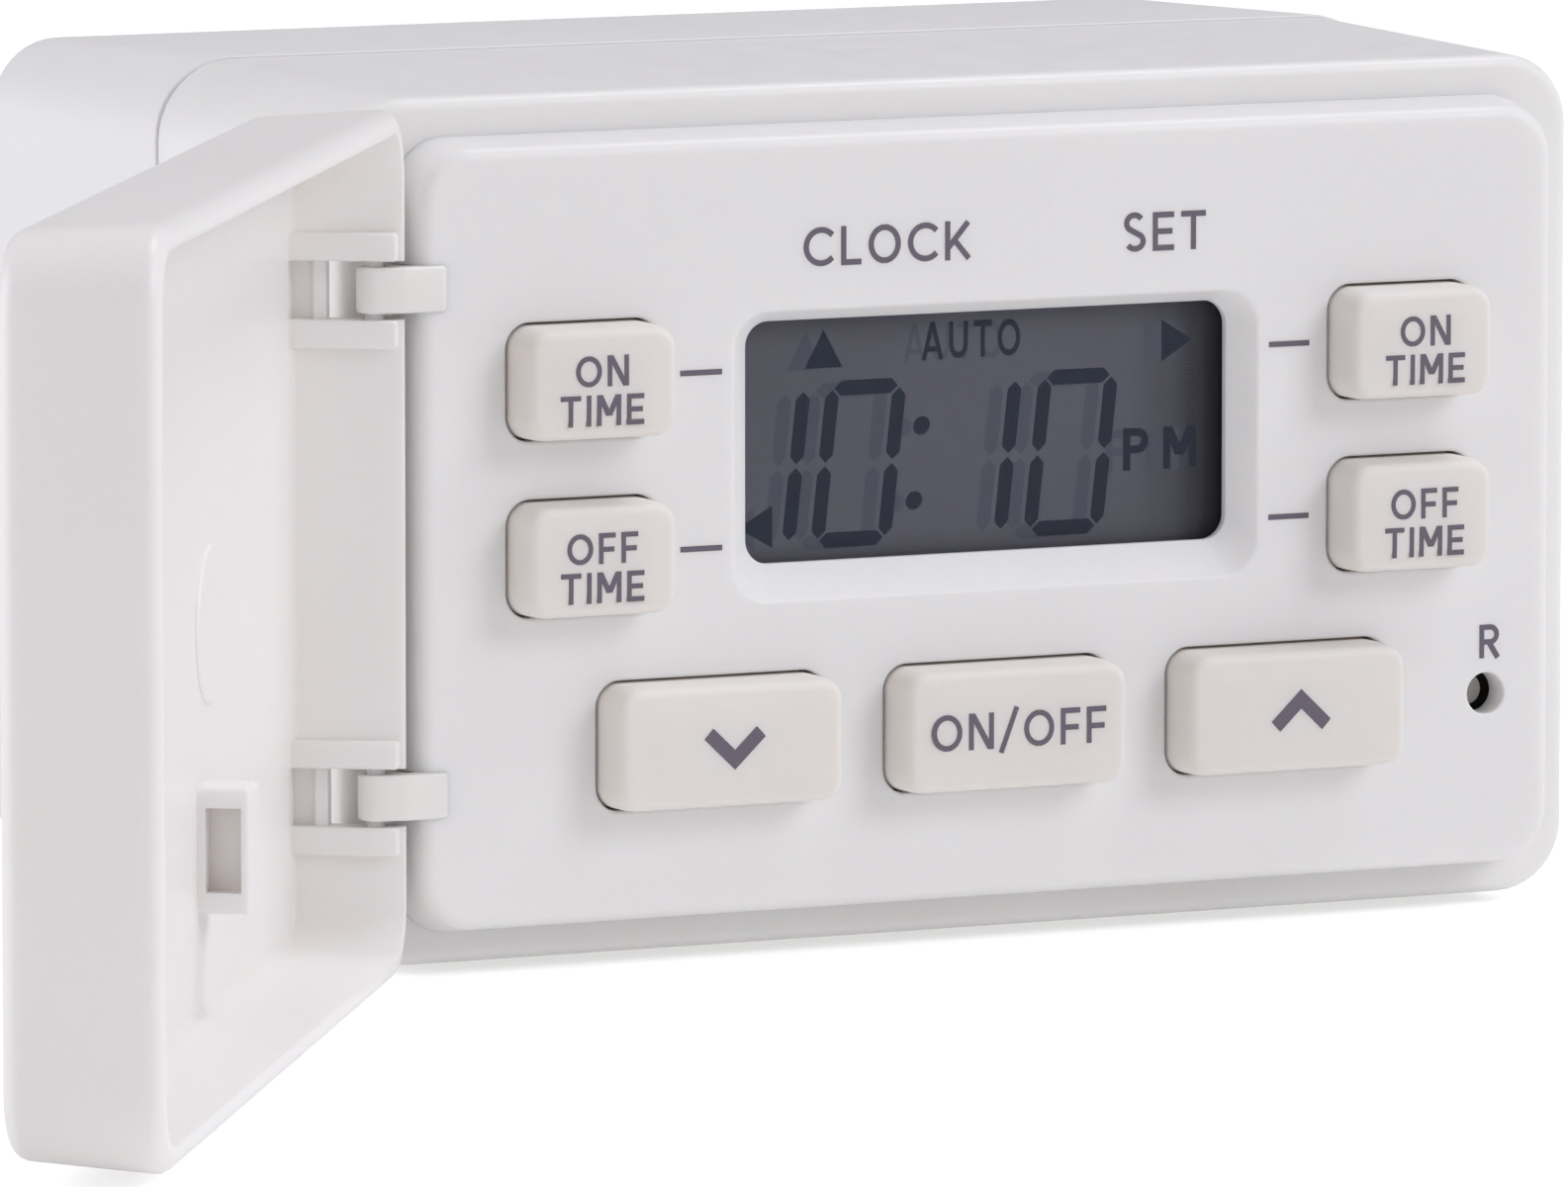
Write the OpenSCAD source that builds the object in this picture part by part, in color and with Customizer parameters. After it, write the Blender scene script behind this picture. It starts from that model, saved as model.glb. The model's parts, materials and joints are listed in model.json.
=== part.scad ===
// Plug-in digital timer with a hinged front cover, in millimetres.
// +Z is up. The origin is the centre of the back face, which meets the wall,
// and the front looks along -Y. Depths named *_f are measured forward from the back face.

/* [Casing] */
// Width of the front face
body_w = 88; // [86:0.5:92]
// Height of the front face
body_h = 55; // [54:0.5:58]
// Depth of the casing, back face to front face
body_d = 56; // [54:0.5:60]
// Forward distance of the seam between the two casing halves
seam_f = 29; // [28:0.5:30]
// Wall thickness of the casing
wall = 2.2; // [1.8:0.1:2.6]
// Corner radius of the casing
body_r = 4.6; // [3:0.2:6]
// How far each side flares out at the seam
flare = 0.6; // [0.2:0.1:0.9]

/* [Control panel] */
// Width of the raised panel
panel_w = 81; // [80:0.5:82]
// Height of the raised panel
panel_h = 49.6; // [49:0.2:51]
// Height of the panel above the casing face
panel_rise = 3.6; // [3:0.1:4]
// Corner radius of the panel
panel_r = 3.5; // [2:0.5:5]
// Sideways offset of the panel, which leaves room for the hinge
panel_x = 0.4; // [0:0.1:0.6]

/* [Display] */
// Width of the display window
window_w = 34.5; // [30:0.5:36]
// Height of the display window
window_h = 15.5; // [12:0.5:16]
// Height of the window's centre
window_z = 4.85; // [4:0.05:6]

/* [Keys] */
// Width of the four programme keys
key_w = 10.4; // [9:0.1:11]
// Height of the four programme keys
key_h = 7.2; // [6:0.1:8]
// Width of the three lower keys
wide_key_w = 15.9; // [14:0.1:17]
// Height of the three lower keys
wide_key_h = 8; // [7:0.1:8.5]
// How far the keys stand out of the panel
key_rise = 3.3; // [2.5:0.1:3.6]
// Travel of a key
key_travel = 1; // [0.5:0.1:1]

/* [Cover] */
// Depth of the cover from rim to outer face
cover_d = 9.55; // [9.4:0.05:9.8]
// Angle at which the cover stands open
cover_open = 124; // [0:1:126]

/* [Plug and outlet] */
// Distance between the two flat blades
blade_gap = 12.7; // [12.7:0.1:12.8]
// Length of the flat blades
blade_len = 17.4; // [16:0.1:18.2]
// Diameter of the earth pin
earth_d = 4.8; // [4.7:0.05:4.85]
// Length of the earth pin
earth_len = 20.6; // [19:0.1:20.6]
// Diameter of the outlet's earth hole
socket_d = 5.3; // [5.1:0.1:5.6]

/* [Hidden] */
$fn = 48;
eps = 0.01;
past = 1;                      // how far a cutting shape runs past the face it opens

// Casing
seam_w = body_w + 2 * flare;
seam_h = body_h + 2 * flare;
lip = 0.15;                    // the rear half stands this far proud at the seam
seam_gap = 0.15;               // gap between the two halves
edge_r = 0.8;                  // rounding of the outer edges
front_wall = 2;
cavity_r = body_r - 2;         // inner corner radius at the front and back walls
cavity_seam_r = body_r - 1;    // inner corner radius at the seam
opening_w = 77;                // opening in the front wall behind the panel
opening_h = 44;
opening_r = 2;
screw_x = 37.2;                // casing screws
screw_z = 20.6;
boss_r = 3.4;
boss_end_f = 48;               // the front half's bosses stop behind the control board
screw_clear_r = 1.7;
pilot_r = 1.25;
head_r = 2.8;
head_t = 1.8;
sink_r = 3.1;                  // counterbore radius
sink_d = 14;                   // counterbore depth from the back face
pilot_d = 10;
screw_len = 22;

// Panel
panel_z = -0.2;
panel_f = body_d + panel_rise; // front of the panel
panel_t = 2;
panel_back_f = panel_f - panel_t;
panel_draft = 0.4;
panel_lip = 1;                 // depth of the panel's plain foot behind its tray
key_gap = 0.3;                 // gap between a key and the panel
key_flange = 0.9;
key_flange_t = 1.2;
flange_gap = 0.3;              // gap between a key's flange and the panel
key_r = 1.5;
key_shoulder = 0.8;            // height over which a key's edge rounds off
key_front_f = panel_f + key_rise;
key_back_f = panel_back_f - flange_gap - key_flange_t;
key_x = 29.3;                  // programme keys, from the panel's middle
key_top_z = 9.6;
key_low_z = -1.6;
wide_pitch = 20.3;
wide_z = -13.8;
reset_x = 36.1;
reset_z = -13.8;
reset_r = 1.35;
window_depth = 1.5;
window_r = 1.6;
window_flare = 1.3;            // slope around the display window
window_flare_r = 2.4;
window_drop = 0.3;             // the slope's outer edge sits this much lower
post_x = 33;                   // posts that carry the control board
post_z = 19.6;
post_r = 2.2;
board_pilot_r = 0.8;
board_hole_r = 1.1;
board_screw_len = 6;
board_head_r = 1.6;
board_head_t = 1.1;

// Display stack and control board, from the front to the back
lens_t = 1;
lens_margin = 1.5;             // how far the lens reaches past the window
lcd_t = 1.7;
lcd_w = 38;
lcd_h = 20;
lcd_z = window_z - 0.5;
lcd_front_f = panel_back_f - lens_t - 0.2;
strip_h = 1.8;                 // rubber strips behind the glass
strip_inset = [1.5, 0.3];      // how far they stay inside its edges
board_t = 1.6;
board_front_f = 53.2;
board_back_f = board_front_f - board_t;
board_w = 76;
board_h = 44.6;
board_r = 0.6;                 // corner radius of both boards
mat_front_f = key_back_f - key_travel - 0.3;
mat_t = 0.8;
mat_gap = 0.5;                 // gap around what passes through the mat
mat_inset = [1.5, 0.5];        // how far the mat stays inside the panel's tray
pill_r = 1.5;
pill_end_f = board_front_f + key_travel + 0.1;
switch_w = 4.5;
switch_t = 3;
plunger_r = 1;
plunger_len = 0.8;
plunger_hidden = 0.6;
plunger_well = 1.2;            // depth of the hole that the plunger runs in
chip_size = [12, 12, 1.6];
chip_place = [-6, 3];
cell_r = 5.8;
cell_t = 5.2;
cell_place = [18, -2];
cell_step_r = 4.6;             // smaller disc on the cell's back
cell_step_t = 0.6;
ribbon_x = -23.6;
ribbon_z = -14;
ribbon_w = 12;
ribbon_t = 0.9;
plug_size = [14, 4, 3];        // plug at each end of the ribbon cable

// Cover and hinge
cover_gap = 0.5;               // gap between the shut cover's rim and the casing
cover_w = body_w - 0.2;
cover_h = body_h - 0.2;
cover_t = 1.6;
cover_taper = 0.5;
cover_wall = 2.4;              // thickness of the cover's flat face
rim_f = body_d + cover_gap;
cover_f = rim_f + cover_d;
cover_inside_f = cover_f - cover_wall;
rib_t = 1.8;                   // ribs beside each hinge notch
box_x = -9.75;                 // rib box that reaches between two of the lower keys
box_z = -15.1;
box_w = 3.6;
box_h = 7.8;
box_rise = 3.2;
box_pocket = [1.8, 2.2, 5.2];  // depth from the side, along the rise, height
box_pocket_gap = 0.5;
pad_x = -12.5;                 // round pad on the inside of the flat face
pad_z = -1.8;
pad_r = 4.9;
pad_rise = 0.25;
pivot_x = -cover_w / 2 + 1.1;
pivot_f = body_d + 2.4;
hinge_pin_r = 0.6;
hinge_bore_r = 0.65;
knuckle_r = 1.15;
arm_h = 2.9;
arm_notch = 3.7;
notch_end_f = 61.4;            // forward of here each notch is a pocket closed by a web
web_x = 1;                     // depth of the web's inside below the cover's side
web_bar_t = 0.8;               // upright bar along the web's end
arm_zs = [15.8, -16.2];
arm_front_f = panel_f + 0.4;
arm_t = 1.4;
arm_tip_x = -38.4;
arm_bend_x = -41.2;
arm_slot_gap = 0.05;
pin_hold = 0.5;                // how far each hinge pin runs into the cover beside its notch

// Plug, outlet and power board
blade_w = 6.3;                 // blade height
blade_t = 1.5;
earth_drop = 11.9;             // earth pin below the blades
plug_z = 4;                    // height of the blades and outlet slots
blade_tab_f = 18.4;            // forward end of the blades, at the power board
blade_chamfer = 1.6;
blade_hole_r = 1.55;
blade_hole_back = 4.2;         // hole's distance from the blade's tip
earth_tab_f = 14;
earth_taper = [1.4, 2.2];      // how much thinner the tip is, and over what length
earth_neck_r = 2.15;           // the pin is thinner where the casing grips it
earth_neck_end = 0.6;          // the full thickness starts this far behind the back face
earth_mouth_r = earth_d / 2 + 0.1;
earth_mouth_t = 0.8;           // depth of the wider mouth around the pin in the back face
earth_z = plug_z - earth_drop;
collar_t = 1.6;                // collar that steadies the earth pin inside
collar_f = 11;
outlet_f = 14.6;               // outlet centre, forward of the back face
slot_t = 2.1;
slot_h = [8.4, 7];             // neutral and line slots
outlet_pad = [3.5, 24, 26];    // thickened patch around the outlet openings
outlet_pad_x = body_w / 2 - 2.64;
outlet_cut = 6;                // depth of the outlet openings from the widest point
contact_len = 15;
contact_gap = 1.2;
contact_leaf = 0.8;
contact_h = 6;
contact_end_x = body_w / 2 - 2 * wall - 0.6;
contact_x = contact_end_x - contact_len;
earth_tube_t = 0.8;
carrier_t = 2.5;               // upright that holds the three contacts
carrier_f = 26;
carrier_z = [-14, 9];
power_back_f = 16.4;
power_t = 1.6;
power_w = 62;
power_h = 45;
power_x = -10.5;
power_notch = [9, 6.4];        // left corners cut away around the casing bosses
power_posts = [[-38, 11], [-38, -11], [17, 17], [17, -17]];
power_post_r = 2.4;
power_pilot_d = 8;
power_front_f = power_back_f + power_t;
relay_place = [-12, 14];
relay_size = [19, 15, 15.5];
filter_place = [8, -12];
filter_size = [15, 8, 12];
can_place = [-10, -13];
can_r = 5;
can_h = 13;

// ---- shared shapes ----

// Rounded rectangle, made of plain squares and circles
module rounded_rect(w, h, r) {
    square([w - 2 * r, h], center = true);
    square([w, h - 2 * r], center = true);
    for (sx = [-1, 1], sz = [-1, 1])
        translate([sx * (w / 2 - r), sz * (h / 2 - r)]) circle(r = r);
}

// A flat outline raised along the depth, from back_f to front_f
module raise(back_f, front_f) {
    translate([0, -back_f, 0]) rotate([90, 0, 0])
        linear_extrude(front_f - back_f) children();
}

// Rounded block between two forward distances
module block(w, h, r, back_f, front_f) {
    raise(back_f, front_f) rounded_rect(w, h, r);
}

// Thin slice of a tapered shell, with a corner fine enough for a hull
module slice(w, h, r, f) {
    raise(f, f + eps) rounded_rect(w, h, r, $fn = 32);
}

// Round bar along the depth
module rod(r, back_f, front_f) {
    translate([0, -back_f, 0]) rotate([90, 0, 0]) cylinder(r = r, h = front_f - back_f);
}

// Places its children at all four casing screws
module at_screws() {
    for (sx = [-1, 1], sz = [-1, 1]) translate([sx * screw_x, 0, sz * screw_z]) children();
}

// Places its children at all four posts of the control board
module at_posts() {
    for (sx = [-1, 1], sz = [-1, 1])
        translate([panel_x + sx * post_x, 0, panel_z + sz * post_z]) children();
}

// Places its children at all four posts of the power board
module at_power_posts() {
    for (p = power_posts) translate([p[0], 0, p[1]]) children();
}

// Pan-head screw whose head faces the back
module screw_back(head_f, length, shank_r, cap_r, cap_t) {
    difference() {
        union() {
            rod(cap_r, head_f - cap_t, head_f);
            rod(shank_r, head_f - eps, head_f + length);
        }
        for (turn = [0, 90]) rotate([0, turn, 0])
            translate([0, -(head_f - cap_t), 0]) cube([cap_r * 1.2, cap_t, 0.5], center = true);
    }
}

// ---- casing ----

// Screw bosses between two depths, each merged into its corner of the casing
module corner_bosses(back_f, front_f) intersection() {
    for (sx = [-1, 1], sz = [-1, 1]) translate([sx * screw_x, 0, sz * screw_z]) {
        rod(boss_r, back_f, front_f);
        translate([sx * boss_r, 0, sz * boss_r])
            block(2 * boss_r, 2 * boss_r, edge_r, back_f, front_f);
    }
    block(body_w - wall, body_h - wall, body_r - 1, back_f, front_f);
}

module front_housing() color("#f1f0f1") difference() {
    union() {
        difference() {
            hull() {
                slice(seam_w, seam_h, body_r + flare, seam_f);
                slice(body_w, body_h, body_r, body_d - edge_r);
                slice(body_w - edge_r * 0.6, body_h - edge_r * 0.6, body_r, body_d - edge_r * 0.3);
                slice(body_w - 2 * edge_r, body_h - 2 * edge_r, body_r - edge_r, body_d - eps);
            }
            hull() {
                slice(seam_w - 2 * wall, seam_h - 2 * wall, cavity_seam_r, seam_f - eps);
                slice(body_w - 2 * wall, body_h - 2 * wall, cavity_r, body_d - front_wall);
            }
        }
        corner_bosses(seam_f, boss_end_f);
    }
    translate([panel_x, 0, panel_z])
        block(opening_w, opening_h, opening_r, body_d - 2 * front_wall, body_d + past);
    at_screws() rod(pilot_r, seam_f - past, seam_f + pilot_d);
}

// Outlet slots and earth hole, cut through the right wall
module outlet_cuts() {
    for (i = [0, 1])
        translate([seam_w / 2, -outlet_f + (i == 0 ? 1 : -1) * blade_gap / 2, plug_z])
            cube([2 * outlet_cut, slot_t, slot_h[i]], center = true);
    translate([seam_w / 2 - outlet_cut, -outlet_f, earth_z])
        rotate([0, 90, 0]) cylinder(d = socket_d, h = 2 * outlet_cut);
}

module rear_housing() color("#eeedef") difference() {
    union() {
        difference() {
            hull() {
                slice(body_w - 2 * edge_r, body_h - 2 * edge_r, body_r - edge_r, 0);
                slice(body_w, body_h, body_r, edge_r);
                slice(seam_w + 2 * lip, seam_h + 2 * lip, body_r + flare, seam_f - seam_gap - eps);
            }
            hull() {
                slice(body_w - 2 * wall, body_h - 2 * wall, cavity_r, wall);
                slice(seam_w - 2 * wall, seam_h - 2 * wall, cavity_seam_r, seam_f + eps);
            }
        }
        corner_bosses(wall - eps, seam_f - seam_gap);
        at_power_posts() rod(power_post_r, wall - eps, power_back_f);
        // Flat pad that carries the outlet openings on the inside of the right wall
        translate([outlet_pad_x, -outlet_f, (plug_z + earth_z) / 2]) cube(outlet_pad, center = true);
        // Collar that steadies the earth pin inside the back wall
        translate([0, 0, earth_z]) rod(earth_neck_r + collar_t, wall - eps, collar_f);
    }
    at_screws() rod(sink_r, -past, sink_d);
    at_screws() rod(screw_clear_r, -past, seam_f + past);
    at_power_posts() rod(board_pilot_r, power_back_f - power_pilot_d, power_back_f + past);
    translate([0, 0, earth_z]) {
        rod(earth_neck_r, -past, earth_tab_f);
        rod(earth_mouth_r, -past, earth_mouth_t);
    }
    for (sx = [-1, 1]) translate([sx * blade_gap / 2, -wall / 2, plug_z])
        cube([blade_t, 2 * wall, blade_w], center = true);
    outlet_cuts();
}

// ---- control panel ----

// The seven key places: x, z, width, height
function key_place(name) =
    name == "on_left" ? [-key_x, key_top_z, key_w, key_h] :
    name == "off_left" ? [-key_x, key_low_z, key_w, key_h] :
    name == "on_right" ? [key_x, key_top_z, key_w, key_h] :
    name == "off_right" ? [key_x, key_low_z, key_w, key_h] :
    name == "down" ? [-wide_pitch, wide_z, wide_key_w, wide_key_h] :
    name == "on_off" ? [0, wide_z, wide_key_w, wide_key_h] :
    [wide_pitch, wide_z, wide_key_w, wide_key_h];
KEYS = ["on_left", "off_left", "on_right", "off_right", "down", "on_off", "up"];

module at_key(name) {
    p = key_place(name);
    translate([panel_x + p[0], 0, p[1]]) children();
}

module fascia_panel() color("#efeef0") difference() {
    union() {
        difference() {
            translate([panel_x, 0, panel_z]) hull() {
                slice(panel_w + 2 * panel_draft, panel_h + 2 * panel_draft, panel_r, body_d);
                slice(panel_w, panel_h, panel_r, panel_f - edge_r);
                slice(panel_w - edge_r, panel_h - edge_r, panel_r, panel_f - eps);
            }
            translate([panel_x, 0, panel_z])
                block(opening_w, opening_h, opening_r, body_d - panel_lip, panel_back_f);
        }
        at_posts() rod(post_r, board_front_f, panel_back_f + eps);
    }
    // Sloped recess, then the window itself
    translate([panel_x, 0, window_z]) {
        hull() {
            slice(window_w, window_h, window_r, panel_f - window_depth);
            translate([0, 0, -window_drop]) slice(window_w + 2 * window_flare,
                window_h + 2 * window_flare, window_flare_r, panel_f);
        }
        block(window_w, window_h, window_r, panel_back_f - past, panel_f);
    }
    for (k = KEYS) at_key(k)
        block(key_place(k)[2] + 2 * key_gap, key_place(k)[3] + 2 * key_gap,
              key_r + key_gap, panel_back_f - past, panel_f + past);
    translate([reset_x, 0, reset_z]) rod(reset_r, panel_back_f - past, panel_f + past);
    at_posts() rod(board_pilot_r, board_front_f - past, board_front_f + board_screw_len - past);
    // Slots for the two hinge arms
    for (z = arm_zs)
        translate([-body_w / 2 - past, -panel_f - past, z - arm_h / 2 - arm_slot_gap])
            cube([body_w / 2 + past + arm_tip_x + arm_slot_gap, panel_rise + 2 * past,
                  arm_h + 2 * arm_slot_gap]);
}

// One key: a rounded top, a flange behind the panel and a contact pill
module key(name) color("#e9e2d8") {
    p = key_place(name);
    at_key(name) {
        hull() {
            block(p[2], p[3], key_r, key_back_f + key_flange_t - eps, key_front_f - key_shoulder);
            slice(p[2] - 0.6 * key_shoulder, p[3] - 0.6 * key_shoulder, key_r,
                  key_front_f - 0.3 * key_shoulder);
            slice(p[2] - 1.8 * key_shoulder, p[3] - 1.8 * key_shoulder,
                  key_r - 0.5 * key_shoulder, key_front_f - eps);
        }
        block(p[2] + 2 * key_flange, p[3] + 2 * key_flange, key_r, key_back_f, key_back_f + key_flange_t);
        rod(pill_r, pill_end_f, key_back_f + eps);
    }
}

// Silicone sheet behind the keys, open around the display, posts and contact pills
module keypad_mat() color("#ddd6cb") difference() {
    translate([panel_x, 0, panel_z])
        block(opening_w - 2 * mat_inset[0], opening_h - 2 * mat_inset[1], opening_r,
              mat_front_f - mat_t, mat_front_f);
    translate([panel_x, 0, lcd_z])
        block(lcd_w + 4 * mat_gap, lcd_h + 4 * mat_gap, 1, mat_front_f - 2 * mat_t, mat_front_f + past);
    for (k = KEYS) at_key(k) rod(pill_r + mat_gap, mat_front_f - 2 * mat_t, mat_front_f + past);
    at_posts() rod(post_r + mat_gap, mat_front_f - 2 * mat_t, mat_front_f + past);
    translate([reset_x, 0, reset_z]) block(switch_w + 2 * mat_gap, switch_w + 2 * mat_gap,
        mat_gap, mat_front_f - 2 * mat_t, mat_front_f + past);
}

// ---- display ----

module display_lens() color("#c9ced3") translate([panel_x, 0, window_z])
    block(window_w + 2 * lens_margin, window_h + 2 * lens_margin, window_r,
          panel_back_f - lens_t, panel_back_f);

module lcd_glass() color("#5d5f69") translate([panel_x, 0, lcd_z])
    block(lcd_w, lcd_h, 0.3, lcd_front_f - lcd_t, lcd_front_f);

// Two rubber strips that join the glass to the board
module lcd_connectors() color("#c08a8a")
    for (side = [-1, 1])
        translate([panel_x, 0, lcd_z + side * (lcd_h / 2 - strip_h / 2 - strip_inset[1])])
            block(lcd_w - 2 * strip_inset[0], strip_h, 0.2, board_front_f, lcd_front_f - lcd_t);

// ---- electronics ----

module control_board() color("#2f6b3c") difference() {
    translate([panel_x, 0, panel_z]) block(board_w, board_h, board_r, board_back_f, board_front_f);
    at_posts() rod(board_hole_r, board_back_f - past, board_front_f + past);
}

module controller_chip() color("#26262a") translate([panel_x + chip_place[0], 0, chip_place[1]])
    block(chip_size[0], chip_size[1], 0.3, board_back_f - chip_size[2], board_back_f);

module backup_cell() color("#b8bcc0") translate([panel_x + cell_place[0], 0, cell_place[1]]) {
    rod(cell_r, board_back_f - cell_t, board_back_f);
    rod(cell_step_r, board_back_f - cell_t - cell_step_t, board_back_f - cell_t + eps);
}

module reset_switch() color("#303034") translate([reset_x, 0, reset_z]) difference() {
    block(switch_w, switch_w, 0.4, board_front_f, board_front_f + switch_t);
    rod(plunger_r + 0.05, board_front_f + switch_t - plunger_well, board_front_f + switch_t + past);
}

module reset_plunger() color("#c9c3b8") translate([reset_x, 0, reset_z])
    rod(plunger_r, board_front_f + switch_t - plunger_hidden, board_front_f + switch_t + plunger_len);

// Flat cable between the two boards, with a plug at each end
module ribbon_cable() color("#8c8f94") translate([ribbon_x, 0, ribbon_z]) {
    block(ribbon_w, ribbon_t, 0.3, power_front_f + plug_size[2], board_back_f - plug_size[2]);
    block(plug_size[0], plug_size[1], 0.4, board_back_f - plug_size[2], board_back_f);
    block(plug_size[0], plug_size[1], 0.4, power_front_f, power_front_f + plug_size[2]);
}

module power_board() color("#2f6b3c") difference() {
    translate([power_x, 0, 0]) block(power_w, power_h, board_r, power_back_f, power_front_f);
    at_power_posts() rod(board_hole_r, power_back_f - past, power_front_f + past);
    for (sz = [-1, 1]) translate([power_x - power_w / 2, -power_back_f, sz * power_h / 2])
        cube([2 * power_notch[0], 4 * power_t, 2 * power_notch[1]], center = true);
    for (sx = [-1, 1]) translate([sx * blade_gap / 2, -power_back_f, plug_z])
        cube([blade_t + 0.2, 4 * power_t, blade_w / 2 + 0.2], center = true);
}

// Component with a rectangular case, standing on the power board
module board_block(place, size, r)
    translate([place[0], 0, place[1]])
        block(size[0], size[1], r, power_front_f, power_front_f + size[2]);

module relay() color("#1f4f8f") board_block(relay_place, relay_size, 0.6);

module filter_capacitor() color("#d9b23a") board_block(filter_place, filter_size, 0.8);

module smoothing_capacitor() color("#2b2f3a") translate([can_place[0], 0, can_place[1]])
    rod(can_r, power_front_f, power_front_f + can_h);

// ---- plug ----

// Flat blade: full height outside, half height inside where it joins the board
module blade(side) {
    translate([side * blade_gap / 2, 0, plug_z]) difference() {
        union() {
            translate([-blade_t / 2, -wall, -blade_w / 2]) cube([blade_t, wall + blade_len, blade_w]);
            translate([-blade_t / 2, -blade_tab_f, -blade_w / 4]) cube([blade_t, blade_tab_f, blade_w / 2]);
        }
        // Chamfers on the tip and the round hole near it
        for (s = [-1, 1]) translate([0, blade_len, s * blade_w / 2]) rotate([45, 0, 0])
            cube([2 * blade_t, blade_chamfer, blade_chamfer], center = true);
        translate([-blade_t, blade_len - blade_hole_back, 0])
            rotate([0, 90, 0]) cylinder(r = blade_hole_r, h = 2 * blade_t);
    }
}

module line_blade() color("#c9b27a") blade(1);
module neutral_blade() color("#c9b27a") blade(-1);

// Tapered pin with a thinner neck where the casing grips it
module earth_pin() color("#c9b27a") translate([0, 0, earth_z])
    rotate([90, 0, 0]) rotate_extrude() polygon([
        [0, -earth_len], [earth_d / 2 - earth_taper[0], -earth_len],
        [earth_d / 2, -earth_len + earth_taper[1]], [earth_d / 2, -earth_neck_end],
        [earth_neck_r, -earth_neck_end], [earth_neck_r, earth_tab_f], [0, earth_tab_f]]);

// ---- outlet contacts ----

// Two brass leaves joined at the inner end, open towards the outlet slot
module fork(side) {
    leaf_off = (contact_gap + contact_leaf) / 2;
    translate([contact_x, -outlet_f + side * blade_gap / 2, plug_z - contact_h / 2]) {
        for (s = [-1, 1]) translate([0, s * leaf_off - contact_leaf / 2, 0])
            cube([contact_len, contact_leaf, contact_h]);
        translate([0, -leaf_off - contact_leaf / 2, 0])
            cube([contact_leaf, contact_gap + 2 * contact_leaf, contact_h]);
    }
}

module neutral_contact() color("#b9965a") fork(1);
module line_contact() color("#b9965a") fork(-1);

module earth_contact() color("#b9965a") translate([contact_x, -outlet_f, earth_z])
    rotate([0, 90, 0]) difference() {
        cylinder(r = socket_d / 2 + 0.1 + earth_tube_t, h = contact_len);
        translate([0, 0, 1]) cylinder(r = socket_d / 2 + 0.1, h = contact_len);
    }

// Upright on the back wall that the three contacts are fixed to
module contact_carrier() color("#3a3b40")
    translate([contact_x - carrier_t, -carrier_f, carrier_z[0]])
        cube([carrier_t, carrier_f - wall, carrier_z[1] - carrier_z[0]]);

// ---- fasteners ----

module housing_screws() color("#a9adb2") at_screws()
    screw_back(sink_d, screw_len, pilot_r, head_r, head_t);

module board_screws() color("#a9adb2") at_posts()
    screw_back(board_back_f, board_screw_len, board_pilot_r, board_head_r, board_head_t);

module power_board_screws() color("#a9adb2") at_power_posts()
    mirror([0, 1, 0]) translate([0, 2 * power_front_f, 0])
        screw_back(power_front_f, board_screw_len, board_pilot_r, board_head_r, board_head_t);

// ---- cover and hinge ----

// Turns its children about the hinge pin by the cover's opening angle
module opened() {
    translate([pivot_x, -pivot_f, 0]) rotate([0, 0, -cover_open])
        translate([-pivot_x, pivot_f, 0]) children();
}

// Tray-shaped cover in its shut position, without its pins
module cover_tray() difference() {
    union() {
        difference() {
            hull() {
                slice(cover_w, cover_h, body_r, rim_f);
                slice(cover_w - 2 * cover_taper, cover_h - 2 * cover_taper, body_r, cover_f - 1);
                slice(cover_w - 2 * cover_taper - 0.6, cover_h - 2 * cover_taper - 0.6, body_r,
                      cover_f - 0.3);
                slice(cover_w - 2 * cover_taper - 2, cover_h - 2 * cover_taper - 2, body_r - 1,
                      cover_f - eps);
            }
            hull() {
                slice(cover_w - 2 * cover_t, cover_h - 2 * cover_t, body_r - cover_t, rim_f - past);
                slice(cover_w - 2 * cover_t - 1, cover_h - 2 * cover_t - 1, body_r - cover_t,
                      cover_inside_f);
            }
        }
        // Ribs above and below each hinge notch
        for (z = arm_zs, s = [-1, 1])
            translate([(cover_t - cover_w) / 2, -cover_inside_f - eps,
                       z + s * (arm_notch + rib_t) / 2 - rib_t / 2])
                cube([cover_t, cover_inside_f - rim_f - past, rib_t]);
        // Rib box with a pocket in the side that faces the free end, and the round pad
        translate([box_x, 0, box_z]) difference() {
            block(box_w, box_h, 0.4, cover_inside_f - box_rise, cover_inside_f + eps);
            translate([box_w / 2, -cover_inside_f + box_rise - box_pocket_gap - box_pocket[1] / 2, 0])
                cube([2 * box_pocket[0], box_pocket[1], box_pocket[2]], center = true);
        }
        translate([pad_x, 0, pad_z]) rod(pad_r, cover_inside_f - pad_rise, cover_inside_f + eps);
    }
    // Notches that clear the hinge arms: open to the rim, closed by a web near the flat face
    for (z = arm_zs) translate([-cover_w / 2, 0, z - arm_notch / 2]) {
        translate([-past, -notch_end_f, 0])
            cube([2 * cover_t + past, notch_end_f - rim_f + past, arm_notch]);
        translate([web_x, -cover_inside_f, 0])
            cube([2 * cover_t - web_x, cover_inside_f - notch_end_f - web_bar_t, arm_notch]);
        translate([cover_t, -cover_inside_f, 0])
            cube([cover_t, cover_inside_f - notch_end_f + eps, arm_notch]);
    }
}

// The cover with a pin across each hinge notch
module front_cover() color("#f3f2f3") opened() {
    cover_tray();
    for (z = arm_zs) translate([pivot_x, -pivot_f, z - arm_notch / 2 - pin_hold])
        cylinder(r = hinge_pin_r, h = arm_notch + 2 * pin_hold);
}

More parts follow.
